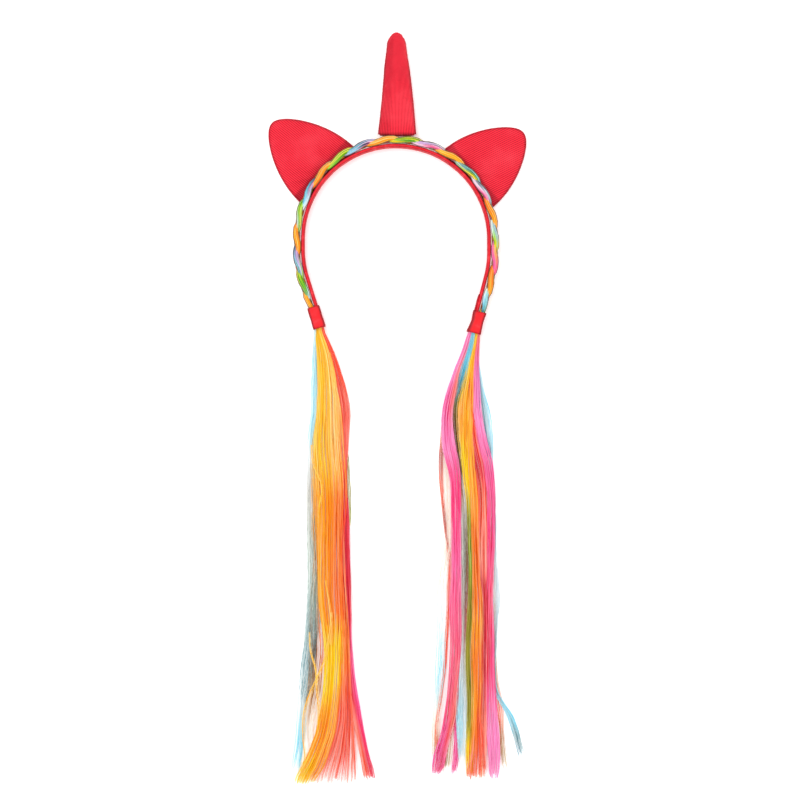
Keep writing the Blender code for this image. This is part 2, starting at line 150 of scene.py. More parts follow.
def newMaterial(name, **constants):
    material = bpy.data.materials.new(name)
    material.use_nodes = True
    maker = Maker(material.node_tree)
    shader = material.node_tree.nodes["Principled BSDF"]
    for socket, value in constants.items():
        shader.inputs[socket.replace("_", " ")].default_value = value
    return material, maker, shader


def join(maker, shader, **flows):
    for socket, flow in flows.items():
        maker.tree.links.new(flow.socket, shader.inputs[socket.replace("_", " ")])


def shadeOf(maker):  # painted shade: how dark a place on the piece is, 0 to 1, kept in its mesh
    return maker.node("ShaderNodeAttribute", {"attribute_name": "shade"}, out=2)


# deep is the colour of the painted shade that the mesh's shade attribute lays on the cloth
clothLook = {
    "crest": paint(238, 44, 62), "groove": paint(146, 0, 22), "deep": paint(110, 0, 22), "paleCrests": paint(248, 84, 96),
    "ribPitch": 1.34 * mm, "threadPitch": 0.42 * mm,
    "waver": 90.0, "fuzz": 1500.0, "patches": 42.0,  # how often each comes in a metre
}


def ribbedCloth(name, rib, along):
    # rib counts the ribs from side to side of the cloth, and along the threads within a rib
    look = clothLook
    material, maker, shader = newMaterial(name, Sheen_Weight=0.03, Sheen_Roughness=0.5, Specular_IOR_Level=0.14)
    place = maker.node("ShaderNodeTexCoord", out=3)
    ribs = rib(maker, place) + (maker.noise(place, look["waver"]) - 0.5) * 0.25
    crest = (ribs * math.pi).call("SINE").call("ABSOLUTE")
    threads = ((along(maker, place) + ribs.call("FLOOR") * 0.5) * math.pi).call("SINE").call("ABSOLUTE")
    fuzz = maker.noise(place, look["fuzz"], 3.0, 0.7)
    patches = maker.noise(place, look["patches"], 3.0)
    # the colour runs across each rib from the groove colour, painted shade in the rib grooves, to the crest colour,
    # with random tone from the patches and fuzz
    share = crest * 1.15 + threads * 0.14 + (fuzz - 0.5) * 0.4 + (patches - 0.5) * 0.7 - 0.08
    cloth = maker.blend(share, look["groove"], look["crest"])
    # lighter on the rib crests in random patches
    paleCrests = maker.blend(((patches - 0.52) * 1.6).within(0.0, 0.35) * crest, cloth, look["paleCrests"])
    height = crest * 0.75 + threads * 0.2 + fuzz * 0.16
    bump = maker.node("ShaderNodeBump", None, {"Strength": 0.9, "Distance": 0.00025, "Height": height})
    # painted shade: the shade kept in the mesh darkens the cloth towards the deep colour
    colour = maker.blend(shadeOf(maker), paleCrests, look["deep"])
    join(maker, shader, Base_Color=colour, Roughness=0.66 + 0.2 * (1 - crest), Normal=bump)
    return material


satinLook = {
    "bright": paint(226, 18, 38), "dull": paint(180, 0, 22), "deep": paint(100, 0, 16), "glint": paint(248, 84, 90),
    "weave": 0.22 * mm,
    # how often each comes in a metre along the ribbon and across it
    "floats": (900.0, 5200.0), "creases": (160.0, 60.0), "broad": (45.0, 90.0),
}


def satinCloth(name, look=satinLook):
    # the ribbon's map holds metres along it and metres across it
    material, maker, shader = newMaterial(name, Coat_Roughness=0.3, Specular_IOR_Level=0.2)
    length, across, _ = maker.split(maker.node("ShaderNodeUVMap", {"uv_map": "ribbon"}))
    ribs = (length / look["weave"] * math.pi).call("SINE") * 0.5 + 0.5

    def cloud(kind, seed, *shape):
        along, wide = look[kind]
        return maker.noise(maker.vector(length * along, across * wide, seed), 1.0, *shape)

    floats, creases, broad = cloud("floats", 0.0, 2.0, 0.6), cloud("creases", 0.0, 3.0, 0.55), cloud("broad", 4.0, 2.0)
    # the colour runs from dull to bright with the creases, painted satin sheen and shade, and with broad random tone
    share = 0.6 + (creases - 0.5) * 1.1 + (floats - 0.5) * 0.35 + (broad - 0.5) * 0.8 + (ribs - 0.5) * 0.1
    cloth = maker.blend(share, look["dull"], look["bright"])
    # painted highlight: the crests of the creases turn towards the glint colour
    lit = maker.blend(((creases - 0.55) * 2.2).within(0.0, 0.4), cloth, look["glint"])
    height = ribs * 0.16 + floats * 0.3 + creases * 1.4
    bump = maker.node("ShaderNodeBump", None, {"Strength": 0.6, "Distance": 0.00022, "Height": height})
    # painted shade: the shade kept in the mesh darkens the satin towards the deep colour
    join(maker, shader, Base_Color=maker.blend(shadeOf(maker), lit, look["deep"]), Normal=bump,
         Roughness=0.3 + floats * 0.22 + (1 - creases) * 0.1, Coat_Weight=0.02 + creases * 0.1)
    return material


dyes = {
    "sun": paint(255, 220, 66), "peach": paint(255, 222, 140), "amber": paint(255, 194, 36),
    "brightSun": paint(255, 230, 34), "honey": paint(255, 196, 66), "orange": paint(252, 162, 58),
    "rust": paint(250, 138, 52), "coral": paint(252, 132, 104), "coralRed": paint(246, 94, 70),
    "salmon": paint(252, 164, 148), "crimson": paint(222, 26, 58), "redPink": paint(242, 90, 116),
    "dustyRed": paint(206, 108, 102), "hotPink": paint(252, 112, 176), "pink": paint(252, 142, 196),
    "rosePink": paint(250, 136, 170), "lightPink": paint(253, 178, 222), "lilacPink": paint(244, 164, 218),
    "magenta": paint(246, 116, 184), "paleCyan": paint(190, 236, 246), "mist": paint(232, 242, 246),
    "cyan": paint(148, 228, 244), "teal": paint(84, 164, 188), "greyTeal": paint(152, 190, 196),
    "grey": paint(220, 219, 214), "greyGreen": paint(200, 212, 202), "beige": paint(250, 240, 230),
    "tan": paint(216, 170, 112), "brown": paint(146, 102, 66), "olive": paint(180, 172, 52),
    "leafOlive": paint(172, 192, 66), "paleLime": paint(214, 224, 142), "lime": paint(176, 226, 30),
    "leaf": paint(66, 180, 14), "yellow": paint(252, 224, 24), "slate": paint(28, 84, 122),
    "lilac": paint(226, 186, 238), "white": paint(244, 248, 250),
}
hairLook = {
    "radius": 0.14 * mm, "columns": 96, "floor": 0.16 * mm,
    "glow": 0.1,  # painted light: a faint glow that stands in for light coming through the hair
    "shine": paint(255, 250, 236), "sideShade": paint(84, 22, 30),
}
hairSizes = {  # what a lock has unless it says otherwise
    "Hairs": 100, "Points": 44, "Clumps": 8, "Seed": 1, "Radius": hairLook["radius"], "Wander": 0.55 * mm,
    "Frizz": 0.0, "Ragged": 0.018, "Late": 0.0, "Gather": 0.1, "Round": 0.0, "Floor": hairLook["floor"],
}


def hairDye(name, innerStops, outerStops, streaks, contrast=1.0, rough=0.34, sides=0.0):
    # the strand's map holds the place across the lock and the share of its length
    material, maker, shader = newMaterial(name, Specular_IOR_Level=0.3, Emission_Strength=hairLook["glow"])
    across, along, _ = maker.split(maker.node("ShaderNodeUVMap", {"uv_map": "strand"}))
    column = (across * hairLook["columns"]).call("FLOOR")
    single = maker.node("ShaderNodeTexWhiteNoise", {"noise_dimensions": "1D"}, {"W": column})
    broad = maker.noise(maker.vector(across * streaks, along * 4.0, 3.7), 1.0, 2.0, 0.6) - 0.5
    fine = maker.noise(maker.vector(across * streaks * 2.7, along * 9.0, 9.1), 1.0, 1.0, 0.5) - 0.5
    shift = along + (single - 0.5) * 0.03 + broad * 0.14
    inner = maker.node("ShaderNodeValToRGB", {"stops": innerStops}, {0: shift})
    outer = maker.node("ShaderNodeValToRGB", {"stops": outerStops}, {0: shift})
    dye = maker.blend(((across - 0.5) * 2.4 + (single - 0.5) * 0.4 + broad * 1.4 + 0.5).within(), inner, outer)
    # streaks: partly tone that differs at random, partly painted shade towards the dye's deeper colour and painted
    # highlight towards the shine colour
    tone = (broad * 2.0 + fine * 2.6 + (single - 0.5) * 1.3) * contrast
    dark = maker.blend(1.0, dye, dye, "MULTIPLY")
    deep = maker.blend((0.14 - tone).within(0.0, 0.9), dye, dark)
    light = maker.blend((tone * 0.5 - 0.08).within(0.0, 0.24), deep, hairLook["shine"])
    rim = ((across - 0.5).call("ABSOLUTE") * 5.0 - 1.4).within(0.0, sides)  # painted shade: a bundle is darker at its sides
    seen = maker.blend(rim, light, hairLook["sideShade"])
    # painted light: the hair glows faintly in its deeper colour
    join(maker, shader, Base_Color=seen, Emission_Color=maker.blend(1.0, seen, seen, "MULTIPLY"),
         Roughness=rough - 0.08 + single * 0.16)
    return material


def hairTree():
    tree = bpy.data.node_groups.new("hairLock", "GeometryNodeTree")
    tree.interface.new_socket("Geometry", in_out="OUTPUT", socket_type="NodeSocketGeometry")
    tree.interface.new_socket("Guides", in_out="INPUT", socket_type="NodeSocketGeometry")
    for name in hairSizes:
        kind = "Int" if isinstance(hairSizes[name], int) else "Float"
        tree.interface.new_socket(name, in_out="INPUT", socket_type=f"NodeSocket{kind}")
    tree.interface.new_socket("Dye", in_out="INPUT", socket_type="NodeSocketMaterial")
    maker = Maker(tree)
    entry = tree.nodes.new("NodeGroupInput")
    given = {socket.name: Flow(maker, socket) for socket in entry.outputs if socket.name}

    def named(name, kind="FLOAT"):
        return maker.node("GeometryNodeInputNamedAttribute", {"data_type": kind}, {"Name": name})

    def stored(thing, name, value, kind="FLOAT", domain="POINT"):
        values = {0: thing, "Name": name, "Value": value}
        return maker.node("GeometryNodeStoreNamedAttribute", {"data_type": kind, "domain": domain}, values)

    hairs = maker.node("GeometryNodeMeshToCurve", None, {0: given["Guides"]})
    hairs = maker.node("GeometryNodeResampleCurve", None, {"Curve": hairs, "Count": given["Points"]})
    hairs = maker.node("GeometryNodeDuplicateElements", {"domain": "SPLINE"}, {0: hairs, "Amount": given["Hairs"]})
    index = Flow(maker, hairs.socket.node.outputs[1])

    def chance(step, owner=index):
        values = {"Min_001": 0.0, "Max_001": 1.0, "ID": owner, "Seed": given["Seed"] + step}
        return maker.node("FunctionNodeRandomValue", {"data_type": "FLOAT"}, values, 1)

    share = named("share")
    # a flat lock: hairs evenly across it, drawn together into clumps, more so at their tips
    even = chance(1) * 2 - 1
    clump = ((even * 0.5 + 0.5) * given["Clumps"] + (chance(2) - 0.5) * 0.6).call("FLOOR")
    centre = (clump + 0.5 + (chance(3, clump) - 0.5) * 0.6) / given["Clumps"] * 2 - 1
    ends = 1 - given["Ragged"] * (chance(4, clump) * 0.65 + (chance(5) ** 2.0) * 0.35)
    loose = (share * 9.0).within()
    together = (given["Gather"] * loose + ((share - ends) / 0.06 + 1).within() * 0.34).within()
    flatSide = even + (centre - even) * together
    level = chance(6, clump) * 0.5 + chance(7) * 1.5 - 1
    flatHigh = level * (1 - 0.75 * flatSide * flatSide).within(0.05).call("SQRT")
    # a round bundle: hairs in its outer layers
    turn = even * math.pi
    reach = (0.3 + 0.7 * chance(8)).call("SQRT")
    side = flatSide + (turn.call("COSINE") * reach - flatSide) * given["Round"]
    high = flatHigh + (turn.call("SINE") * reach - flatHigh) * given["Round"]

    def drift(waves, step, size, owner=index):
        where = maker.vector(share * waves, chance(step, owner) * 40.0, chance(step + 1, owner) * 40.0)
        cloud = maker.noise(where, 1.0, 1.0, 0.5, 1)
        centred = maker.vectorMaths("SUBTRACT", cloud, (0.5, 0.5, 0.5))
        return maker.vectorMaths("SCALE", maker.vectorMaths("MULTIPLY", centred, (4.0, 1.2, 1.8)), size)

    place = maker.node("GeometryNodeInputPosition")
    moves = [
        maker.vectorMaths("SCALE", named("across", "FLOAT_VECTOR"), side),
        maker.vectorMaths("SCALE", named("depth", "FLOAT_VECTOR"), high),
        drift(6.0, 10, given["Wander"] * loose, clump),
        drift(13.0, 12, given["Wander"] * 0.4 * loose),
        drift(46.0, 14, given["Frizz"] * named("frizz") * loose * chance(16)),
    ]
    for move in moves:
        place = maker.vectorMaths("ADD", place, move)
    x, y, z = maker.split(place)
    above = maker.vector(x, y, z.call("MAXIMUM", given["Floor"]))
    hairs = maker.node("GeometryNodeSetPosition", None, {0: hairs, "Position": above})
    values = {"Curve": hairs, "Start": given["Late"] * chance(17), "End": ends}
    hairs = maker.node("GeometryNodeTrimCurve", {"mode": "FACTOR"}, values)
    own = centre + (even - centre) * 0.45
    own = (own + (turn.call("COSINE") * reach - own) * given["Round"]) * 0.5 + 0.5
    column = (own * hairLook["columns"]).call("FLOOR").within(0.0, hairLook["columns"] - 1)
    hairs = stored(hairs, "column", column)
    ring = maker.node("GeometryNodeCurvePrimitiveCircle", {"mode": "RADIUS"}, {"Resolution": 3, "Radius": 1.0})
    ring = stored(ring, "around", maker.node("GeometryNodeSplineParameter"))
    thin = 1 - ((maker.node("GeometryNodeSplineParameter") - 0.94) * 12.0).within(0.0, 0.75)
    size = given["Radius"] * (0.75 + 0.5 * chance(18)) * thin
    values = {"Curve": hairs, "Profile Curve": ring, "Scale": size, "Fill Caps": True}
    mesh = maker.node("GeometryNodeCurveToMesh", None, values)
    across = (named("column") + 0.1 + named("around") * 1.2) / hairLook["columns"]
    strand = maker.vector(across, named("share") * 0.992 + named("around") * 0.004 + 0.001)
    for name in ("strand", "OFBake"):
        mesh = stored(mesh, name, strand, "FLOAT2", "CORNER")
    mesh = maker.node("GeometryNodeSetShadeSmooth", None, {0: mesh, "Shade Smooth": True})
    mesh = maker.node("GeometryNodeRealizeInstances", None, {0: mesh})
    mesh = maker.node("GeometryNodeSetMaterial", None, {0: mesh, "Material": given["Dye"]})
    leave = tree.nodes.new("NodeGroupOutput")
    tree.links.new(mesh.socket, leave.inputs[0])
    return tree


hairLock = hairTree()


def applied(thing):
    # the evaluated shape as a plain mesh, without modifiers and without what only the tree reads
    shape = bpy.data.meshes.new_from_object(thing.evaluated_get(bpy.context.evaluated_depsgraph_get()))
    thing.modifiers.clear()
    thing.data = shape
    for name in ("across", "depth", "share", "frizz", "column", "around"):
        if name in shape.attributes:
            shape.attributes.remove(shape.attributes[name])
    return thing


def placed(name, data):
    thing = bpy.data.objects.new(name, data)
    bpy.context.scene.collection.objects.link(thing)
    return thing


def meshOf(bm, name):
    bmesh.ops.recalc_face_normals(bm, faces=bm.faces)
    mesh = bpy.data.meshes.new(name)
    bm.to_mesh(mesh)
    bm.free()
    return mesh


def growHair(name, guides, dye, **sizes):
    # a guide is a list of points: place, vectors across and deep, share of the length, and frizz
    bm = bmesh.new()
    layers = [bm.verts.layers.float_vector.new(key) for key in ("across", "depth")]
    layers += [bm.verts.layers.float.new(key) for key in ("share", "frizz")]
    for guide in guides:
        last = None
        for point, *values in guide:
            corner = bm.verts.new(point)
            for layer, value in zip(layers, values):
                corner[layer] = value
            if last:
                bm.edges.new((last, corner))
            last = corner
    lock = placed(name, meshOf(bm, name))
    grow = lock.modifiers.new("hair", "NODES")
    grow.node_group = hairLock
    given = {**hairSizes, **sizes, "Dye": dye}
    for item in hairLock.interface.items_tree:
        if item.item_type == "SOCKET" and item.in_out == "INPUT" and item.name in given:
            grow[item.identifier] = given[item.name]
    applied(lock)
    lock.data.name = name
    return lock


hoopSizes = {
    "innerRadius": 63.9 * mm, "thickness": 2.4 * mm, "width": 10.0 * mm, "endWidth": 7.4 * mm, "taper": 50 * mm,
    "left": (7.5 * mm, math.radians(17.2), 62.5 * mm),  # straight drop, turn, and length of a leg
    "right": (9.5 * mm, math.radians(14.5), 65.8 * mm),
    "endHeight": 5.0 * mm,  # the middle of a leg's end above the surface
}
midRadius = hoopSizes["innerRadius"] + hoopSizes["thickness"] / 2
outerRadius = hoopSizes["innerRadius"] + hoopSizes["thickness"]
arcLength = midRadius * math.pi / 2
up = Vector((0, 0, 1))


def sideOf(length):
    return "left" if length < 0 else "right"


def hoopEnd(side):
    return arcLength + hoopSizes[side][2]


def hoopFrame(length):
    # middle of the strip's wall and the outward direction, at a signed length from the crown
    side = sideOf(length)
    drop, bend, leg = hoopSizes[side]
    ahead = abs(length)
    point = Vector((0, 0, 0))
    turn = 0.0
    for run, angle in ((arcLength, math.pi / 2), (drop, 0), (midRadius * bend, bend), (leg, 0)):
        part = min(ahead, run)
        forward = Vector((math.cos(turn), -math.sin(turn), 0))
        if angle:
            inward = Vector((forward.y, -forward.x, 0))
            turned = angle * part / run
            point += forward * midRadius * math.sin(turned) + inward * midRadius * (1 - math.cos(turned))
            turn += turned
        else:
            point += forward * part
        ahead -= part
    mirror = Vector((sideSign[side], 1, 1))
    return point * mirror, Vector((math.sin(turn), math.cos(turn), 0)) * mirror


def hoopTaper(length):
    return smooth((abs(length) - hoopEnd(sideOf(length)) + hoopSizes["taper"]) / hoopSizes["taper"])


def hoopHeights(length):  # middle and half of the strip's width
    taper = hoopTaper(length)
    middle = mix(hoopSizes["width"] / 2, hoopSizes["endHeight"], taper)
    return middle, mix(hoopSizes["width"], hoopSizes["endWidth"], taper) / 2


def sweep(name, rings, material, closed=True):
    # a skin through rings of (metres along, points, shades), with ends closed or joined to each other
    bm = bmesh.new()
    ribbon = bm.loops.layers.uv.new("ribbon")
    shade = bm.verts.layers.float.new("shade")
    rows = []
    for along, points, shades in rings:
        ring = [bm.verts.new(point) for point in points]
        for corner, dark in zip(ring, shades):
            corner[shade] = dark
        rows.append((along, ring))
    sample = rings[len(rings) // 2][1]
    around = [0.0]
    for i, point in enumerate(sample):
        around.append(around[-1] + (sample[(i + 1) % len(sample)] - point).length)

    def skin(near, a, far, b):
        for i in range(len(a)):
            j = (i + 1) % len(a)
            face = bm.faces.new((a[i], a[j], b[j], b[i]))
            places = ((near, around[i]), (near, around[i + 1]), (far, around[i + 1]), (far, around[i]))
            for loop, uv in zip(face.loops, places):
                loop[ribbon].uv = uv

    for (near, a), (far, b) in zip(rows, rows[1:]):
        skin(near, a, far, b)
    if closed:
        for along, ring in (rows[0], rows[-1]):
            hub = bm.verts.new(sum((corner.co for corner in ring), Vector()) / len(ring))
            for i in range(len(ring)):
                face = bm.faces.new((ring[i], ring[(i + 1) % len(ring)], hub))
                for loop, uv in zip(face.loops, ((along, around[i]), (along, around[i + 1]), (along + mm, around[i]))):
                    loop[ribbon].uv = uv
    else:
        skin(rows[-1][0], rows[-1][1], rows[-1][0] + rows[1][0] - rows[0][0], rows[0][1])
    mesh = meshOf(bm, name)
    mesh.shade_smooth()
    mesh.materials.append(material)
    return placed(name, mesh)


def roundedSection(halfWide, halfHigh, radius, steps=5, flat=8):
    corners = []
    for cx, cy, start in ((1, 1, 0), (-1, 1, 90), (-1, -1, 180), (1, -1, 270)):
        for i in range(steps):
            angle = math.radians(start + 90 * i / (steps - 1))
            corners.append((cx * (halfWide - radius) + radius * math.cos(angle),
                            cy * (halfHigh - radius) + radius * math.sin(angle)))
    filled = []
    for i, (x, y) in enumerate(corners):  # the straight sides get points too
        nx, ny = corners[(i + 1) % len(corners)]
        count = flat if i % steps == steps - 1 else 1
        filled += [(mix(x, nx, k / count), mix(y, ny, k / count)) for k in range(count)]
    return filled


def wrinkle(*place):
    return noise.noise(Vector(place))


bandLook = {
    "round": 1.0 * mm, "crease": 0.10 * mm, "step": 1.6 * mm, "rest": 0.05 * mm,
    # half of the bright strip in the middle of its front edge, and the painted shade on each side of it, darker on the
    # outer side by the plait
    "strip": 0.38 * mm, "innerShade": 0.45, "outerShade": 0.9,
    "lapHalf": 1.9 * mm, "lapFromEnd": 14 * mm, "lapShade": 0.3, "lapSteps": 150,
    "foldLength": 12.6 * mm, "foldThick": 0.95 * mm, "foldFromEnd": 13.5 * mm, "foldSteps": 14,
}
satin = satinCloth("red_satin")


def makeBand():
    look = bandLook
    count = round((hoopEnd("left") + hoopEnd("right")) / look["step"])
    rings = []
    half = hoopSizes["width"] / 2
    template = roundedSection(hoopSizes["thickness"] / 2, half, look["round"])
    for i in range(count + 1):
        length = mix(-hoopEnd("left"), hoopEnd("right"), i / count)
        point, out = hoopFrame(length)
        middle, high = hoopHeights(length)
        ring, shades = [], []
        for across, rise in template:
            crease = wrinkle(length * 420, across * 300, rise * 160) + wrinkle(length * 95, 7.1, rise * 60)
            crease *= look["crease"]
            height = middle + rise / half * high + (crease if rise > 0 else 0)
            sideways = across + (crease if across > 0 else -crease)
            ring.append(point + out * sideways + up * max(look["rest"], height))
            # painted shade towards the top of both faces, away from the middle strip
            near = smooth((rise - half + 2.2 * mm) / (1.4 * mm))
            edge = smooth((abs(across) - look["strip"]) / (0.7 * mm))
            shades.append(near * edge * look["outerShade" if across > 0 else "innerShade"])
        rings.append((length, ring, shades))
    band = sweep("hoop_band", rings, satin)
    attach(band, "root")
    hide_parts("hoop")


def makeLap():
    # the ribbon's long edges meet on the inner face, one over the other
    look = bandLook
    rings = []
    face = -hoopSizes["thickness"] / 2
    section = ((0.25, -1), (-0.12, -0.96), (-0.2, -0.6), (-0.22, 0.0), (-0.2, 0.6), (-0.12, 0.96), (0.25, 1))
    # painted shade along the lap's two long edges
    shades = [look["lapShade"] if abs(rise) > 0.9 else 0.0 for _, rise in section]
    for i in range(look["lapSteps"] + 1):
        share = i / look["lapSteps"]
        length = mix(-hoopEnd("left") + look["lapFromEnd"], hoopEnd("right") - look["lapFromEnd"], share)
        point, out = hoopFrame(length)
        middle = hoopHeights(length)[0] + 0.35 * mm * wrinkle(length * 55, 3.3, 0.5)
        ring = [point + out * (face + across * mm) + up * (middle + rise * look["lapHalf"])
                for across, rise in section]
        rings.append((length, ring, shades))
    lap = sweep("hoop_ribbon_lap", rings, satin)
    # the ribbon's end, folded under on the inner face of the right leg
    rings = []
    start = hoopEnd("right") - look["foldFromEnd"] - look["foldLength"]
    template = roundedSection(look["foldThick"] / 2, hoopSizes["endWidth"] / 2 + 0.2 * mm, 0.4 * mm, 4)
    for i in range(look["foldSteps"] + 1):
        length = start + (look["foldLength"] + 3 * mm) * i / look["foldSteps"]
        point, out = hoopFrame(length)
        size = mix(0.55, 1.0, smooth(i / 1.5))
        ring = []
        for across, rise in template:
            crease = 0.12 * mm * wrinkle(length * 300, across * 200, rise * 150)
            offset = face - look["foldThick"] * 0.42 * size + across * size + crease
            ring.append(point + out * offset + up * (hoopSizes["endHeight"] + rise * mix(1.08, 1.0, smooth(i / 8))))
        # painted shade: darkest at the fold's first two rings, and darker on its inner side
        rings.append((length, ring, [0.7 if i < 2 else 0.15 + 0.5 * (across < 0) for across, _ in template]))
    fold = sweep("hoop_ribbon_end", rings, satin)
    for piece in (lap, fold):
        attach(piece, "root")


makeBand()
makeLap()
print("hoop: satin band, its lap and the folded end")


plait = {
    "period": 46.8 * mm, "startTurn": 0.447, "thickness": 5.2 * mm, "gap": 0.3 * mm, "middle": 7.8 * mm,
    "swingOut": 0.95 * mm, "swingUp": 1.75 * mm, "fat": 2.55 * mm, "thin": 1.2 * mm, "high": 1.45 * mm,
    "squeeze": 12 * mm, "squeezed": 0.78, "cuff": 15.5 * mm, "overhang": 1.2 * mm, "inCuff": 6 * mm,
    "hairs": 130, "stepsPerPeriod": 14, "radius": 0.18 * mm, "sideShade": 0.8,
}


def plaitPoint(length, number):
    # middle of a bundle, and how far its hair reaches outward and upward
    side = sideOf(length)
    start = hoopEnd(side) + plait["overhang"] - plait["cuff"] - plait["squeeze"]
    near = smooth((abs(length) - start) / plait["squeeze"])
    size = mix(1.0, plait["squeezed"], near)
    turn = 2 * math.pi * (length / plait["period"] + plait["startTurn"] - number / 3)
    point, out = hoopFrame(length)
    swing = plait["swingOut"] * math.sin(2 * turn)
    wide = mix(plait["thin"], plait["fat"], smooth((math.sin(turn) + 0.4) / 1.3))
    wide = min(wide, plait["thickness"] / 2 * 1.03 - abs(swing) * 0.75)
    outward = hoopSizes["thickness"] / 2 + plait["gap"] + (plait["thickness"] / 2 - swing) * size
    upward = mix(plait["middle"], hoopSizes["endHeight"], near) + plait["swingUp"] * size * math.sin(turn)
    return point + out * outward + up * upward, out * wide * size, up * plait["high"] * size


# the bundles in the order of the solids' numbers, and where each shows on top: millimetres from the crown, with the
# dyes of its inner and outer side
plaitDyes = {
    "gold": (
        (-158, "sun", "sun"), (-149, "honey", "amber"), (-143, "amber", "honey"), (-110, "amber", "orange"),
        (-103, "amber", "sun"), (-97, "amber", "orange"), (-64, "orange", "amber"), (-57, "amber", "amber"),
        (-49, "amber", "tan"), (-17, "honey", "peach"), (-9, "amber", "honey"), (-2, "amber", "peach"),
        (30, "honey", "sun"), (37, "amber", "amber"), (45, "honey", "amber"), (77, "orange", "amber"),
        (84, "amber", "amber"), (92, "amber", "amber"), (124, "orange", "orange"), (131, "honey", "amber"),
        (140, "amber", "amber")),
    "green": (
        (-143, "mist", "teal"), (-136, "leaf", "lime"), (-130, "lime", "leaf"), (-122, "lime", "yellow"),
        (-95, "leaf", "mist"), (-88, "yellow", "lime"), (-80, "lime", "leaf"), (-49, "lime", "yellow"),
        (-41, "leaf", "lime"), (-34, "lime", "yellow"), (-3, "yellow", "lime"), (5, "leaf", "leaf"),
        (14, "lime", "yellow"), (44, "mist", "teal"), (50, "leaf", "teal"), (56, "yellow", "leaf"),
        (62, "yellow", "cyan"), (92, "mist", "greyTeal"), (99, "lime", "paleCyan"), (107, "yellow", "yellow"),
        (139, "mist", "cyan"), (145, "cyan", "paleCyan"), (152, "teal", "leaf")),
    "blue": (
        (-127, "lime", "teal"), (-119, "lilac", "paleCyan"), (-111, "lilac", "slate"), (-79, "white", "cyan"),
        (-71, "paleCyan", "teal"), (-64, "pink", "slate"), (-33, "paleCyan", "cyan"), (-26, "slate", "slate"),
        (-19, "hotPink", "paleCyan"), (-14, "hotPink", "lilac"), (14, "white", "lilac"), (20, "hotPink", "slate"),
        (27, "hotPink", "white"), (61, "white", "slate"), (68, "hotPink", "white"), (76, "pink", "greyTeal"),
        (108, "pink", "yellow"), (115, "pink", "rosePink"), (123, "magenta", "hotPink"), (154, "yellow", "lime"),
        (162, "olive", "teal")),
}


def makePlait():
    past = plait["overhang"] - plait["cuff"] + plait["inCuff"]
    start, end = -(hoopEnd("left") + past), hoopEnd("right") + past
    count = round((end - start) / plait["period"] * plait["stepsPerPeriod"])
    for number, (colour, rows) in enumerate(plaitDyes.items()):
        guide = []
        for i in range(count * 2 + 1):
            share = i / count / 2
            guide.append((*plaitPoint(mix(start, end, share), number), share, 0.0))
        places = [clamp((row[0] * mm - start) / (end - start)) for row in rows]
        inner, outer = ([(place, dyes[row[k]]) for place, row in zip(places, rows)] for k in (1, 2))
        bundle = growHair(
            f"plait_{colour}", [guide],
            hairDye(f"hair_{colour}", inner, outer, 7.0, contrast=1.3, rough=0.3, sides=plait["sideShade"]),
            Hairs=plait["hairs"], Points=count, Clumps=9, Seed=40 + number, Wander=0.1 * mm, Ragged=0.0, Gather=0.2,
            Round=1.0, Radius=plait["radius"])
        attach(bundle, "root")
        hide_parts(f"braid_strand_{number + 1}")


makePlait()
print("plait: three bundles")


tailLook = {
    "mouth": {"left": (125.0, -54.9), "right": (128.5, 54.4)},  # millimetres down and across, in the cuff
    "stiff": 3.0, "settle": 41.0,  # hair goes straight on for a bit, then comes down to the surface over this length
    "height": 5.0, "half": 3.0,  # in the cuff, its middle above the surface and half of its thickness
    "beneath": {"height": 3.0, "half": 1.0, "wide": 0.8},  # and the same of what comes out beneath the rest
    "above": 0.25, "narrowest": 0.35, "wider": 1.08, "margin": 0.2, "clumpsPerWidth": 1.6, "steps": 80,
}
# how the hair of each kind of lock lies
tailKinds = {
    "lock": {},
    "frizz": {"Points": 96, "Wander": 0.7 * mm, "Frizz": 0.65 * mm, "Gather": 0.2, "Ragged": 0.04,
              "Radius": 0.12 * mm},
    "stray": {"Points": 80, "Wander": 1.1 * mm, "Frizz": 0.35 * mm, "Gather": 0.0, "Ragged": 0.4, "Late": 0.3,
              "Radius": 0.075 * mm},
    "thread": {"Points": 60, "Wander": 0.16 * mm, "Gather": 0.3, "Ragged": 0.02},
    "part": {"Points": 24, "Wander": 0.3 * mm, "Late": 0.3, "Gather": 0.4, "Ragged": 0.06},
}


def curveAt(rows, column, down):
    # a smooth line through one column of a path's rows
    places = [row[0] for row in rows]
    values = [row[column] for row in rows]
    i = min(max(0, int(np.searchsorted(places, down)) - 1), len(rows) - 2)
    span = places[i + 1] - places[i]
    t = clamp((down - places[i]) / span)

    def slope(k):
        low, high = max(0, k - 1), min(len(rows) - 1, k + 1)
        return (values[high] - values[low]) / (places[high] - places[low]) * span

    return ((2 * t**3 - 3 * t**2 + 1) * values[i] + (t**3 - 2 * t**2 + t) * slope(i)
            + (3 * t**2 - 2 * t**3) * values[i + 1] + (t**3 - t**2) * slope(i + 1))


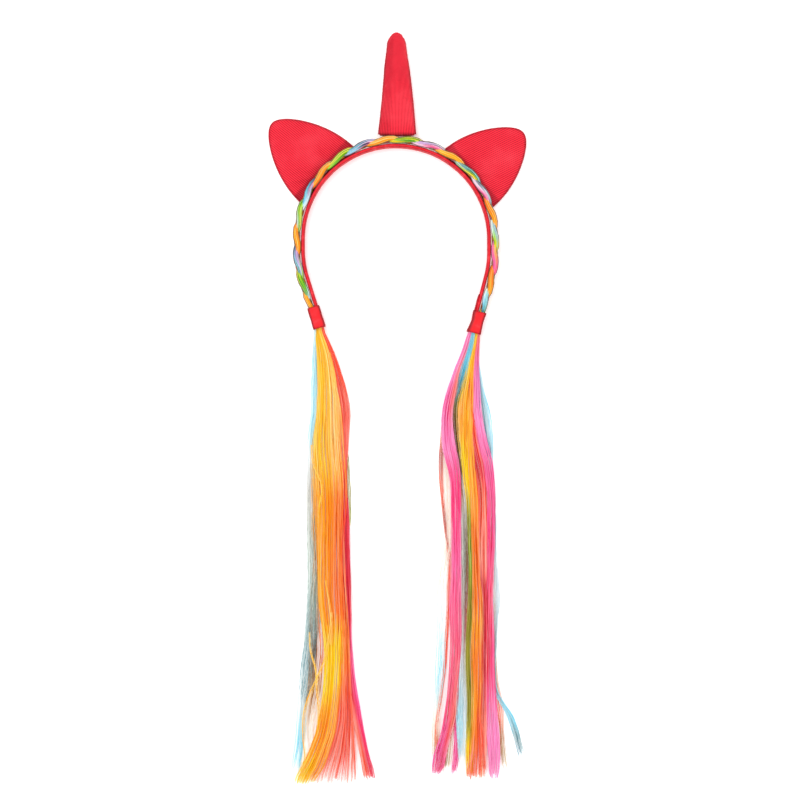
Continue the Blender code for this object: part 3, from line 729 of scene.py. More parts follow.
def tailGuides(side, lock):
    look = tailLook
    down, across = look["mouth"][side]
    paths = lock["paths"]
    start = look
    if lock.get("hidden"):  # it comes out of the cuff beneath the others
        start = look["beneath"]
        paths = [[(down, across - start["wide"], across + start["wide"])] + rows for rows in paths]
    first = min(rows[0][0] for rows in paths)
    last = max(rows[-1][0] for rows in paths)
    frizz = lock.get("frizz", [(0.0, 0.0)])
    guides = []
    for rows in paths:
        guide = []
        for i in range(look["steps"] + 1):
            at = mix(rows[0][0], rows[-1][0], i / look["steps"])
            left, right = curveAt(rows, 1, at), curveAt(rows, 2, at)
            opened = smooth((at - down - look["stiff"]) / look["settle"])
            half = mix(start["half"], lock["depth"], opened)
            high = mix(start["height"], lock["depth"] + look["above"] + lock.get("lift", 0.0), opened)
            wide = (right - left) / 2 * mix(1.0, look["wider"], opened) + look["margin"] * opened
            wide = max(look["narrowest"], wide)
            loose = float(np.interp(at, [d for d, _ in frizz], [a for _, a in frizz]))
            place = Vector(((left + right) / 2, -at, high)) * mm
            guide.append((place, Vector((wide, 0, 0)) * mm, up * half * mm, (at - first) / (last - first), loose))
        guides.append(guide)
    return guides, first, last


def makeTail(side, locks):
    for number, (name, lock) in enumerate(locks.items()):
        guides, first, last = tailGuides(side, lock)
        leftStops, rightStops = (
            [(clamp((down - first) / (last - first)), dyes[dye]) for down, dye in lock[edge]]
            for edge in ("leftEdge", "rightEdge" if "rightEdge" in lock else "leftEdge"))
        halves = [corner[1].x for guide in guides for corner in guide]
        clumps = max(2, round(sum(halves) / len(halves) * 2 / mm * tailLook["clumpsPerWidth"]))
        dye = hairDye(f"tail_{side}_{name}", leftStops, rightStops, clumps * 1.1)
        sizes = {"Hairs": lock["hairs"], "Clumps": clumps, "Seed": 100 * (number + 1) + (50 if side == "right" else 0)}
        hair = growHair(f"tail_{side}_{name}", guides, dye, **sizes, **tailKinds[lock.get("kind", "lock")])
        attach(hair, "root")
        if name == "gold":
            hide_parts(f"tail_{side}")


# in millimetres: each lock's paths as (down, left edge, right edge), and the dyes at those edges as (down, dye)
leftLocks = {
    "pale": {
        "hairs": 40, "depth": 1.6, "kind": "frizz",
        "paths": [[(123.2, -57.8, -56), (128.8, -57.5, -55.6), (139.3, -58.1, -55.6), (149.8, -58.8, -55.3),
            (160.3, -58.4, -54.9), (171.5, -59.1, -54.6), (185.5, -59.1, -54.6), (199.5, -60.9, -56.7),
            (210, -62, -58.1), (219.8, -61.6, -58.1), (233.8, -62, -58.1), (247.8, -62.3, -58.1), (261.8, -62, -57.4),
            (276.5, -62, -56), (290.5, -61.6, -54.6), (304.5, -61.6, -53.2), (317.8, -62.3, -53.2),
            (331.8, -63, -53.9), (346.5, -64, -56), (364, -66.5, -58.1), (377.3, -67.2, -59.5), (386.4, -67.9, -63),
            (399.7, -68.6, -64), (417.9, -70, -65.1), (435.4, -72.8, -67.2), (443.8, -74.2, -69.3)]],
        "leftEdge": [(123.2, "mist"), (156.8, "paleCyan"), (195.3, "paleCyan"), (216.3, "mist"), (240.8, "grey"),
            (289.8, "greyGreen"), (345.8, "greyTeal"), (377.3, "greyTeal"), (391.3, "mist"), (415.8, "cyan"),
            (443.8, "paleCyan")],
        "frizz": [(226.8, 0.25), (289.8, 1), (380.8, 1), (401.8, 0.4)],
    },
    "tan": {
        "hairs": 56, "depth": 2.0, "kind": "frizz", "hidden": True,
        "paths": [[(181.3, -55.3, -53.2), (205.8, -58.1, -53.2), (219.8, -59.5, -53.2), (233.8, -59.5, -53.2),
            (247.8, -58.8, -53.2), (261.8, -58.8, -53.9), (276.5, -58.1, -53.9), (290.5, -57.4, -53.2),
            (304.5, -58.1, -52.5), (317.8, -59.5, -51.8), (331.8, -60.2, -50.4), (346.5, -60.2, -48.3),
            (364, -60.9, -49), (380.8, -61.6, -50.4), (391.3, -63.7, -52.5), (408.8, -65.1, -54.6),
            (424.2, -63.7, -56)]],
        "leftEdge": [(181.3, "peach"), (226.8, "peach"), (247.8, "honey"), (289.8, "tan"), (317.8, "greyGreen"),
            (352.8, "brown"), (380.8, "tan"), (398.3, "beige"), (424.2, "beige")],
        "rightEdge": [(181.3, "peach"), (233.8, "peach"), (254.8, "amber"), (317.8, "tan"), (352.8, "rust"),
            (380.8, "tan"), (401.8, "beige"), (424.2, "tan")],
        "frizz": [(226.8, 0.2), (289.8, 0.8), (317.8, 1), (401.8, 1)],
    },
    "gold": {
        "hairs": 340, "depth": 3.2,
        "paths": [[(123.2, -57, -52.5), (128.8, -56.7, -51.8), (142.8, -55.3, -46.2), (157.5, -54.6, -43.4),
            (171.5, -54.2, -42), (185.5, -54.6, -41.3), (199.5, -56, -40.2), (211.4, -56.7, -39.2),
            (219.8, -56, -38.5), (233.8, -55.3, -37.1), (247.8, -54.2, -37.1), (261.8, -53.9, -37.5),
            (276.5, -54.2, -37.8), (290.5, -54.2, -37.8), (304.5, -53.9, -37.5), (317.8, -53.2, -37.1),
            (331.8, -51.8, -36.4), (345.8, -49.7, -37.8), (359.8, -49, -38.5), (373.8, -49.7, -39.2),
            (386.4, -51.1, -39.9), (399.7, -53.2, -41.3), (412.3, -56, -43.4), (422.8, -60.2, -46.9),
            (433.3, -65.1, -50), (442.4, -70, -56), (448, -71.4, -59.5)]],
        "leftEdge": [(123.2, "sun"), (226.8, "sun"), (244.3, "amber"), (331.8, "amber"), (344.4, "brightSun"),
            (380.8, "brightSun"), (394.8, "amber"), (422.8, "amber"), (433.4, "brightSun"), (448, "brightSun")],
        "rightEdge": [(123.2, "sun"), (198.8, "peach"), (226.3, "peach"), (244.3, "orange"), (328.3, "rust"),
            (345.8, "brightSun"), (373.8, "brightSun"), (387.8, "honey"), (422.8, "honey"), (438.3, "amber"),
            (448, "brightSun")],
    },
    "amber": {
        "hairs": 230, "depth": 2.6, "hidden": True,
        "paths": [[(174.3, -43.4, -40.6), (199.5, -43.4, -37.8), (211.4, -43.4, -37.1), (226.8, -42.7, -35.7),
            (240.8, -42, -35), (254.8, -41.3, -35), (268.8, -41.3, -36.4), (289.8, -40.6, -36.4), (317.8, -39.9, -35),
            (338.8, -39.9, -33.6), (359.8, -39.9, -32.5), (373.8, -40.2, -32.2), (387.8, -41.3, -31.5),
            (399.7, -42.7, -30.4), (412.3, -45.5, -30.1), (422.8, -49.7, -29.4), (433.3, -54.6, -29),
            (442.4, -58.8, -28.7), (447.3, -59.5, -29)]],
        "leftEdge": [(174.3, "peach"), (226.8, "honey"), (254.8, "rust"), (331.8, "orange"), (352.8, "honey"),
            (373.8, "orange"), (391.3, "coral"), (426.3, "salmon"), (447.3, "salmon")],
        "rightEdge": [(174.3, "peach"), (226.8, "orange"), (261.8, "coralRed"), (345.8, "orange"), (380.8, "coral"),
            (415.8, "coral"), (447.3, "salmon")],
    },
    "coral": {
        "hairs": 190, "depth": 2.2,
        "paths": [[(123.2, -53, -51.5), (128.8, -52.3, -50.4), (135.8, -50, -47.2), (146.3, -46.9, -42.7),
            (157.5, -44.5, -39.2), (171.5, -42.7, -35), (185.5, -42, -32.5), (199.5, -41, -33.2), (211.4, -39.2, -34),
            (223.3, -38.5, -34.6), (240.8, -38.5, -34.3), (254.8, -38.1, -33.2), (268.8, -38.1, -32.9),
            (289.8, -38.1, -32.5), (310.8, -37.5, -31.8), (328.3, -36.4, -31.5), (345.8, -34.3, -31.5),
            (363.3, -33.2, -30.4), (380.8, -32.2, -28), (391.3, -30.8, -25.9), (401.8, -29.7, -24.1),
            (415.8, -26.9, -21.3), (427, -24.5, -19.2), (436.8, -23.1, -16.1), (444.5, -22, -14.7)]],
        "leftEdge": [(123.2, "coralRed"), (226.8, "coralRed"), (242.2, "crimson"), (331.8, "crimson"),
            (352.8, "redPink"), (380.8, "redPink"), (401.8, "salmon"), (444.5, "coral")],
        "rightEdge": [(123.2, "coral"), (156.8, "coral"), (177.8, "salmon"), (212.8, "salmon"), (240.8, "redPink"),
            (324.8, "redPink"), (359.8, "pink"), (401.8, "hotPink"), (444.5, "redPink")],
    },
    "sliver": {
        "hairs": 20, "depth": 1.0, "kind": "part",
        "paths": [[(198.8, -37.1, -35), (214.2, -36, -34.3), (219.8, -35.7, -33.2), (233.8, -35, -32.2),
            (247.8, -34.3, -31.8), (256.2, -33.6, -31.8), (267.4, -33.2, -31.8)]],
        "leftEdge": [(198.8, "olive"), (233.8, "olive"), (267.4, "paleLime")],
    },
    "cross": {
        "hairs": 8, "depth": 0.5, "lift": 6.0, "kind": "thread",
        "paths": [
            [(326.2, -45.5, -44.5), (335.3, -46.2, -45.1), (346.5, -48, -46.5), (360.5, -51.1, -49.4),
                (373.1, -56.4, -54.2), (385, -61.6, -59.9), (397.6, -65.1, -63.7), (413.7, -65.5, -64),
                (427, -64.4, -63), (436.1, -66.5, -64.4), (443.8, -68.6, -65.8)],
            [(340.2, -60.9, -60.2), (353.5, -60.2, -59.1), (366.1, -56.7, -55.6), (378.7, -55.9, -54.6),
                (394.8, -54.6, -53.5), (412.3, -55.3, -54.2)],
            [(303.8, -49.7, -49), (310.8, -48.6, -48), (324.8, -46.5, -45.5), (337.4, -45.5, -44.5),
                (349.3, -46.2, -44.8)],
            [(209.3, -59.5, -58.4), (219.8, -58.8, -57.8), (226.8, -56.7, -55.3), (232.4, -53.9, -52.9),
                (239.4, -52.1, -51.1), (245.7, -52.9, -51.5), (253.4, -54.2, -52.9)],
        ],
        "leftEdge": [(209.3, "peach"), (253.4, "sun"), (324.8, "peach"), (387.8, "sun"), (443.8, "honey")],
    },
    "stray": {
        "hairs": 5, "depth": 1.2, "kind": "stray",
        "paths": [
            [(135.8, -58.8, -56), (212.8, -64.4, -58.8), (289.8, -65.1, -58.8), (359.8, -67.9, -61.6),
                (415.8, -72.1, -67.2), (444.5, -75.6, -70)],
            [(135.8, -49, -46.2), (171.5, -37.1, -32.2), (212.8, -35.7, -30.4), (275.8, -35, -29.4),
                (317.8, -32.9, -27.3), (387.8, -29.4, -23.8), (433.3, -23.8, -17.5)],
        ],
        "leftEdge": [(135.8, "beige"), (289.8, "mist"), (444.5, "tan")],
    },
}

rightLocks = {
    "thread": {
        "hairs": 18, "depth": 0.9, "kind": "thread",
        "paths": [[(193.2, 32.2, 33.6), (205.8, 31.5, 33.6), (219.8, 30.3, 32.9), (233.8, 30.6, 32.9),
            (247.8, 32, 33.6), (261.8, 33.4, 35), (276.5, 35, 36.5), (287, 36.2, 38.5), (300.3, 36.4, 38.5),
            (317.8, 36, 38.1), (328.3, 35.5, 37.4), (346.5, 34.6, 36.3), (364, 33.6, 35.3), (382.2, 31.5, 33.1),
            (399.7, 28.7, 30.2), (408.8, 27.3, 28.9), (417.9, 27.7, 29.5), (427, 29.1, 32.9), (435.4, 29.4, 33.9),
            (441, 30.4, 33.9)]],
        "leftEdge": [(193.2, "coral"), (219.8, "dustyRed"), (240.8, "coral"), (261.8, "dustyRed"), (289.8, "salmon"),
            (331.8, "coral"), (441, "coral")],
    },
    "pale": {
        "hairs": 26, "depth": 1.2, "kind": "frizz",
        "paths": [[(205.8, 33.2, 35.7), (226.8, 33.6, 37.8), (247.8, 33.6, 39.2), (275.8, 35, 39.2),
            (289.8, 32.2, 38.5), (310.8, 28.7, 37.8), (331.8, 28.7, 37.1), (352.8, 28, 35.7), (373.8, 27.6, 35),
            (391.3, 26.6, 32.9), (408.8, 25.9, 30.8), (431.2, 25.2, 29.4)]],
        "leftEdge": [(205.8, "beige"), (289.8, "beige"), (331.8, "mist"), (366.8, "paleCyan"), (401.8, "beige"),
            (431.2, "tan")],
        "frizz": [(209.3, 0.5), (275.8, 1), (429.8, 1)],
    },
    "pink": {
        "hairs": 240, "depth": 2.5,
        "paths": [[(126.7, 52.4, 53.8), (132.3, 49.8, 52.4), (136.5, 48.6, 51.7), (143.5, 46.4, 49.6),
            (150.5, 43.6, 46.9), (157.5, 40.6, 44.4), (164.5, 38.5, 43.4), (171.5, 36.2, 42.3), (185.5, 33.1, 40.2),
            (199.5, 32.3, 40.6), (211.4, 32.9, 42), (219.8, 35, 43.7), (233.8, 38.5, 45.1), (261.8, 39.5, 45.5),
            (289.8, 39.3, 45.8), (317.8, 38.1, 45.8), (346.5, 38.5, 45.4), (364, 38.1, 44.8), (382.2, 36.4, 43.2),
            (399.7, 34.3, 41.9), (413, 31.9, 38.1), (427, 26.9, 35), (436.8, 25.9, 32.9), (441, 25.8, 29.4)]],
        "leftEdge": [(125.3, "pink"), (157.5, "lightPink"), (177.8, "magenta"), (212.8, "lightPink"),
            (226.8, "hotPink"), (261.8, "hotPink"), (289.8, "pink"), (345.8, "rosePink"), (387.8, "rosePink"),
            (413, "magenta"), (441, "magenta")],
        "rightEdge": [(125.3, "lilacPink"), (170.8, "salmon"), (198.8, "lightPink"), (233.8, "hotPink"),
            (289.8, "pink"), (352.8, "rosePink"), (401.8, "salmon"), (441, "magenta")],
    },
    "pinkEnd": {
        "hairs": 40, "depth": 1.4, "kind": "part",
        "paths": [[(373.8, 39.2, 42.7), (387.8, 39.9, 43.4), (399.7, 40.2, 43), (412.3, 41.3, 43.7), (427, 40.6, 44),
            (436.8, 39.5, 42.6), (441, 39.3, 42.1)]],
        "leftEdge": [(373.8, "rosePink"), (412.3, "magenta"), (441, "magenta")],
    },
    "cyan": {
        "hairs": 84, "depth": 2.3, "kind": "frizz",
        "paths": [[(125.3, 52.1, 54.9), (132.3, 52.4, 55.3), (136.5, 51.1, 54.9), (143.5, 49.3, 53.2),
            (150.5, 47.2, 51.4), (157.5, 45.4, 50), (164.5, 43.7, 48.6), (171.5, 42.3, 46.1), (178.5, 40.2, 43.7),
            (185.5, 39.4, 43), (199.5, 40.1, 43.7), (211.4, 41.3, 45.1), (223.3, 42.7, 45.8), (233.8, 44.4, 46.2),
            (247.8, 45.5, 47.9), (261.8, 45.8, 49), (276.5, 45.8, 50), (290.5, 45.8, 50.4), (317.8, 45.8, 50),
            (346.5, 45.5, 49), (364, 44.1, 49), (373.8, 43.4, 49.3), (387.8, 42.7, 49.7), (408.8, 42.7, 49.7),
            (427, 43.7, 49), (436.8, 44.1, 48.3)]],
        "leftEdge": [(125.3, "paleCyan"), (149.8, "cyan"), (157.5, "cyan"), (166.6, "teal"), (174.3, "teal"),
            (181.3, "brown"), (216.3, "brown"), (240.8, "tan"), (254.8, "grey"), (289.8, "greyGreen"), (331.8, "grey"),
            (359.8, "mist"), (401.8, "paleCyan"), (436.8, "mist")],
        "rightEdge": [(125.3, "paleCyan"), (157.5, "cyan"), (169.4, "teal"), (177.8, "olive"), (198.8, "brown"),
            (226.8, "brown"), (247.8, "grey"), (289.8, "brown"), (331.8, "dustyRed"), (359.8, "grey"), (401.8, "mist"),
            (436.8, "mist")],
        "frizz": [(226.8, 0.3), (261.8, 0.9), (436.8, 0.9)],
    },
    "gold": {
        "hairs": 190, "depth": 2.6,
        "paths": [[(125.3, 54.9, 58.1), (132.3, 55.3, 58.4), (136.5, 54.6, 57.7), (143.5, 52.8, 55.6),
            (150.5, 51.1, 55.2), (157.5, 49, 53.6), (164.5, 47.2, 53.6), (171.5, 45.1, 53.5), (185.5, 43.5, 52.8),
            (199.5, 43.6, 52.9), (211.4, 44.8, 52.1), (219.8, 46.2, 51.8), (233.8, 47.8, 51.9), (247.8, 49.7, 52.5),
            (261.8, 50.3, 53.5), (276.5, 50.6, 53.9), (290.5, 51.1, 54), (317.8, 50.7, 54.6), (331.8, 50, 53.5),
            (346.5, 48.9, 52.6), (364, 48.6, 53.1), (382.2, 49.7, 53.5), (399.7, 49.8, 54.6), (417.9, 49.3, 54.6),
            (429.8, 49.3, 54.6), (442.4, 49.7, 54.6)]],
        "leftEdge": [(125.3, "sun"), (167.3, "sun"), (185.5, "honey"), (202.3, "honey"), (216.3, "yellow"),
            (240.8, "yellow"), (256.2, "olive"), (289.8, "leafOlive"), (317.8, "olive"), (401.8, "olive"),
            (417.2, "yellow"), (433.3, "sun"), (442.4, "salmon")],
        "rightEdge": [(125.3, "sun"), (171.5, "honey"), (188.3, "sun"), (216.3, "yellow"), (244.3, "yellow"),
            (260.4, "leafOlive"), (293.3, "leafOlive"), (317.8, "olive"), (380.8, "olive"), (408.8, "yellow"),
            (433.3, "honey"), (442.4, "salmon")],
    },
    "orange": {
        "hairs": 210, "depth": 3.2, "hidden": True,
        "paths": [[(195.3, 50.7, 53.2), (212.8, 51.1, 54.2), (233.8, 51.8, 56), (247.8, 52.5, 57.4),
            (261.8, 53.1, 57.7), (276.5, 53.5, 58.1), (303.8, 53.9, 58.8), (317.8, 53.8, 60.2), (331.8, 53.8, 60.2),
            (346.5, 53.2, 60.2), (364, 53.2, 60.5), (382.2, 53.5, 60.4), (399.7, 53.5, 59.5), (408.8, 52.8, 60.9),
            (422.8, 51.8, 61.6), (433.3, 50.4, 61.9), (444.5, 50, 61.6)]],
        "leftEdge": [(195.3, "honey"), (251.3, "honey"), (268.8, "orange"), (317.8, "orange"), (333.2, "honey"),
            (356.3, "orange"), (387.8, "honey"), (412.3, "orange"), (428.4, "salmon"), (444.5, "coral")],
        "rightEdge": [(195.3, "honey"), (251.3, "honey"), (275.8, "orange"), (317.8, "orange"), (335.3, "honey"),
            (359.8, "orange"), (387.8, "orange"), (401.8, "coral"), (428.4, "coral"), (444.5, "orange")],
    },
    "coral": {
        "hairs": 170, "depth": 2.6, "hidden": True,
        "paths": [[(174.3, 51.8, 53.6), (185.5, 51.7, 53.6), (199.5, 51.8, 56), (211.4, 53.4, 58), (219.8, 54.2, 60.5),
            (233.8, 56.7, 62.6), (247.8, 58, 63.2), (261.8, 58.1, 63.6), (276.5, 57.7, 63.6), (290.5, 57.7, 63.7),
            (303.8, 58.3, 63.7), (317.8, 59.8, 64), (331.8, 60.2, 63.9), (346.5, 60.2, 63.8), (364, 60.2, 63.8),
            (382.2, 60.1, 63.7), (396.2, 59.8, 63.9), (412.3, 59.8, 63.7), (426.3, 60.2, 63.3), (436.8, 60.2, 63)]],
        "leftEdge": [(174.3, "coralRed"), (205.8, "coralRed"), (223.3, "crimson"), (244.3, "coralRed"),
            (261.8, "coral"), (273, "salmon"), (294, "salmon"), (305.2, "crimson"), (387.8, "crimson"),
            (401.8, "coral"), (436.8, "salmon")],
        "rightEdge": [(174.3, "coralRed"), (205.8, "coralRed"), (226.8, "redPink"), (247.8, "coral"),
            (268.8, "salmon"), (296.8, "salmon"), (310.8, "crimson"), (380.8, "redPink"), (401.8, "salmon"),
            (436.8, "salmon")],
    },
    "rose": {
        "hairs": 200, "depth": 2.6,
        "paths": [[(125.3, 56.7, 58.8), (135.8, 56.3, 58.8), (143.5, 55.3, 58.3), (157.5, 54.2, 58.3),
            (171.5, 53.9, 58.7), (185.5, 54.2, 59.5), (199.5, 55.6, 62.3), (211.4, 57.4, 64.8), (219.8, 60.9, 67.1),
            (233.8, 63.2, 68.5), (247.8, 64.6, 69.2), (261.8, 64, 69.3), (276.5, 63.9, 69.3), (290.5, 63.4, 68.8),
            (317.8, 63, 67.5), (346.5, 63, 68.5), (364, 63, 68.8), (382.2, 63.1, 69.6), (396.2, 63.3, 70.3),
            (412.3, 64, 71.6), (427, 65, 72.3), (436.8, 65.1, 72.1), (443.8, 65.5, 71)]],
        "leftEdge": [(125.3, "salmon"), (149.8, "lightPink"), (199.5, "lightPink"), (226.8, "pink"),
            (261.8, "hotPink"), (310.8, "rosePink"), (352.8, "redPink"), (380.8, "pink"), (398.3, "lightPink"),
            (443.8, "lightPink")],
        "rightEdge": [(125.3, "salmon"), (157.5, "lilacPink"), (199.5, "lightPink"), (226.8, "pink"),
            (261.8, "magenta"), (310.8, "rosePink"), (352.8, "hotPink"), (380.8, "pink"), (398.3, "lightPink"),
            (443.8, "lightPink")],
    },
    "sky": {
        "hairs": 52, "depth": 1.6, "kind": "frizz", "hidden": True,
        "paths": [[(160.3, 58, 59.5), (171.5, 58.4, 61.6), (178.5, 58.8, 63.7), (185.5, 59.5, 65.7),
            (192.5, 60.2, 66.8), (199.5, 60.9, 67.2), (206.5, 62.3, 67.8), (214.2, 64, 67.8), (221.2, 65.5, 67.3),
            (233.8, 66.8, 68.6), (247.8, 67.9, 69.5), (268.8, 68.7, 70.4), (287, 68.6, 70.7), (300.3, 68.2, 71.7),
            (317.8, 68.2, 72.8), (331.8, 68.5, 71.4), (346.5, 68.4, 70.7), (359.8, 67.9, 70), (373.8, 68.1, 70.2),
            (382.9, 68.9, 71.7), (391.3, 73.5, 76.6), (399, 78, 81.9), (410.9, 82.2, 86.4), (421.4, 84.6, 88.9),
            (430.5, 86.8, 92.4)]],
        "leftEdge": [(160.3, "greyTeal"), (199.5, "greyTeal"), (216.3, "teal"), (247.8, "grey"), (317.8, "mist"),
            (373.8, "greyTeal"), (386.4, "paleCyan"), (399, "paleCyan"), (412.3, "greyTeal"), (430.5, "teal")],
        "rightEdge": [(160.3, "paleCyan"), (209.3, "paleCyan"), (223.3, "greyTeal"), (247.8, "mist"), (317.8, "mist"),
            (373.8, "greyTeal"), (386.4, "paleCyan"), (399, "cyan"), (412.3, "greyTeal"), (430.5, "greyTeal")],
        "frizz": [(212.8, 0), (261.8, 0.4), (380.8, 0.3), (433.3, 0.5)],
    },
    "tan": {
        "hairs": 14, "depth": 1.2, "kind": "part",
        "paths": [
            [(289.8, 66.5, 68.6), (317.8, 67.2, 69.6), (346.5, 67.5, 70), (373.8, 68.6, 71.4), (387.8, 70, 74.2),
                (396.2, 71.4, 75.6), (405.3, 72.8, 75.2), (419.3, 73.5, 76.3), (429.8, 74.2, 78), (438.9, 75.6, 79.8)],
            [(380.8, 37.8, 42), (399.7, 36.4, 41.3), (412.3, 35.7, 39.9), (427, 34.6, 39.2), (436.8, 34.3, 37.8)],
        ],
        "leftEdge": [(289.8, "beige"), (359.8, "tan"), (394.8, "rust"), (412.3, "tan"), (438.9, "olive")],
        "frizz": [(289.8, 0.5), (387.8, 1), (440.3, 1)],
    },
    "stray": {
        "hairs": 5, "depth": 1.2, "kind": "stray",
        "paths": [
            [(149.8, 41.3, 44.8), (191.8, 28.7, 33.6), (261.8, 26.6, 32.2), (331.8, 24.5, 30.8), (387.8, 23.1, 29.4),
                (435.4, 21.7, 28)],
            [(177.8, 62.3, 67.2), (226.8, 66.5, 71.4), (261.8, 70, 73.8), (289.8, 68.6, 72.8), (345.8, 68.6, 73.5),
                (387.8, 70.7, 78.4), (419.3, 76.3, 86.8), (435.4, 78.4, 91)],
        ],
        "leftEdge": [(149.8, "beige"), (289.8, "mist"), (435.4, "tan")],
    },
}

makeTail("left", leftLocks)
makeTail("right", rightLocks)
print("tails: locks of loose hair")


padLook = {
    "voxel": 1.25 * mm, "pressure": 4.0, "frames": 20, "quality": 6, "mass": 0.2, "bending": 0.3, "extraCloth": 0.03,
    "cap": 1.1 * mm,  # the farthest that stuffing moves its cloth
    "rest": 0.15 * mm,  # its lowest point above the surface
}


def skinned(name, rings, hubs):
    bm = bmesh.new()
    rows = [[bm.verts.new(point) for point in ring] for ring in rings]
    for a, b in zip(rows, rows[1:]):
        for i in range(len(a)):
            bm.faces.new((a[i], a[(i + 1) % len(a)], b[(i + 1) % len(b)], b[i]))
    for ring, hub in zip((rows[0], rows[-1]), hubs):
        middle = bm.verts.new(hub)
        for i in range(len(ring)):
            bm.faces.new((ring[i], ring[(i + 1) % len(ring)], middle))
    return meshOf(bm, name)


def stuffed(name, mesh, material, held, shadeAt):
    # an even mesh of the cloth, blown up by its stuffing while its seams are held
    pad = placed(name, mesh)
    remesh = pad.modifiers.new("even", "REMESH")
    remesh.mode = "VOXEL"
    remesh.voxel_size = padLook["voxel"]
    applied(pad)
    before = np.array([corner.co for corner in pad.data.vertices])
    group = pad.vertex_groups.new(name="held")
    for corner in pad.data.vertices:
        group.add([corner.index], held(corner.co), "REPLACE")
    cloth = pad.modifiers.new("stuffing", "CLOTH")
    cloth.settings.quality = padLook["quality"]
    cloth.settings.mass = padLook["mass"]
    cloth.settings.use_pressure = True
    cloth.settings.uniform_pressure_force = padLook["pressure"]
    cloth.settings.effector_weights.gravity = 0
    cloth.settings.vertex_group_mass = "held"
    cloth.settings.shrink_min = -padLook["extraCloth"]
    cloth.settings.bending_stiffness = padLook["bending"]
    cloth.point_cache.frame_end = padLook["frames"]
    for step in range(1, padLook["frames"] + 1):
        bpy.context.scene.frame_set(step)
    applied(pad)
    bpy.context.scene.frame_set(1)
    after = np.array([corner.co for corner in pad.data.vertices])
    move = after - before
    size = np.linalg.norm(move, axis=1)
    most, mean = size.max() / mm, size.mean() / mm
    print(f"{name}: stuffing moved its cloth by up to {most:.2f} mm, on average {mean:.2f} mm")
    after = before + move * np.minimum(1.0, padLook["cap"] / np.maximum(size, 1e-9))[:, None]
    after[:, 2] = np.maximum(after[:, 2], padLook["rest"])
    pad.data.vertices.foreach_set("co", after.astype(np.float32).ravel())
    finer = pad.modifiers.new("finer", "SUBSURF")
    finer.levels = finer.render_levels = 1
    applied(pad)
    pad.vertex_groups.clear()
    shade = pad.data.attributes.new("shade", "FLOAT", "POINT")
    shade.data.foreach_set("value", [shadeAt(corner.co) for corner in pad.data.vertices])
    pad.data.materials.clear()
    pad.data.materials.append(material)
    pad.data.shade_smooth()
    pad.data.name = name
    return pad


earLook = {
    "left": {"turn": math.radians(-46.9), "width": 54.0 * mm, "height": 52.8 * mm, "ribs": (0.62, 0.785)},
    "right": {"turn": math.radians(50.0), "width": 52.8 * mm, "height": 50.2 * mm, "ribs": (-0.46, 0.888)},
    "tipRoundness": 0.69, "sidePower": 2.7, "thickness": 4.5 * mm, "base": 3.8 * mm, "rim": 1.3 * mm,
    "middle": 2.2 * mm,  # its mid-plane above the surface
    "gap": 0.3 * mm, "heart": 0.42,  # its fullest place, as a share of the height
    "baseFrom": 5.2 * mm, "baseShare": 0.2, "fullness": 2.4, "heldBase": 6.5 * mm, "heldRim": 2.2 * mm,
    "seam": 0.42 * mm, "seamHigh": 0.7 * mm, "rimShade": 0.45, "foldShade": 0.42,
}
hoopCentre = Vector((0, -midRadius, 0))


def earOutline(ear, steps=40):
    # half width and height above the hoop, from one corner round the tip to the other
    side = []
    for i in range(steps + 1):
        turn = math.pi / 2 * i / steps
        ellipse = max(0.0, math.cos(turn))
        width = ear["width"] / 2 * mix(ellipse ** earLook["sidePower"], ellipse, earLook["tipRoundness"])
        side.append((width, outerRadius + ear["height"] * math.sin(turn)))
    return side + [(-width, height) for width, height in reversed(side[:-1])]


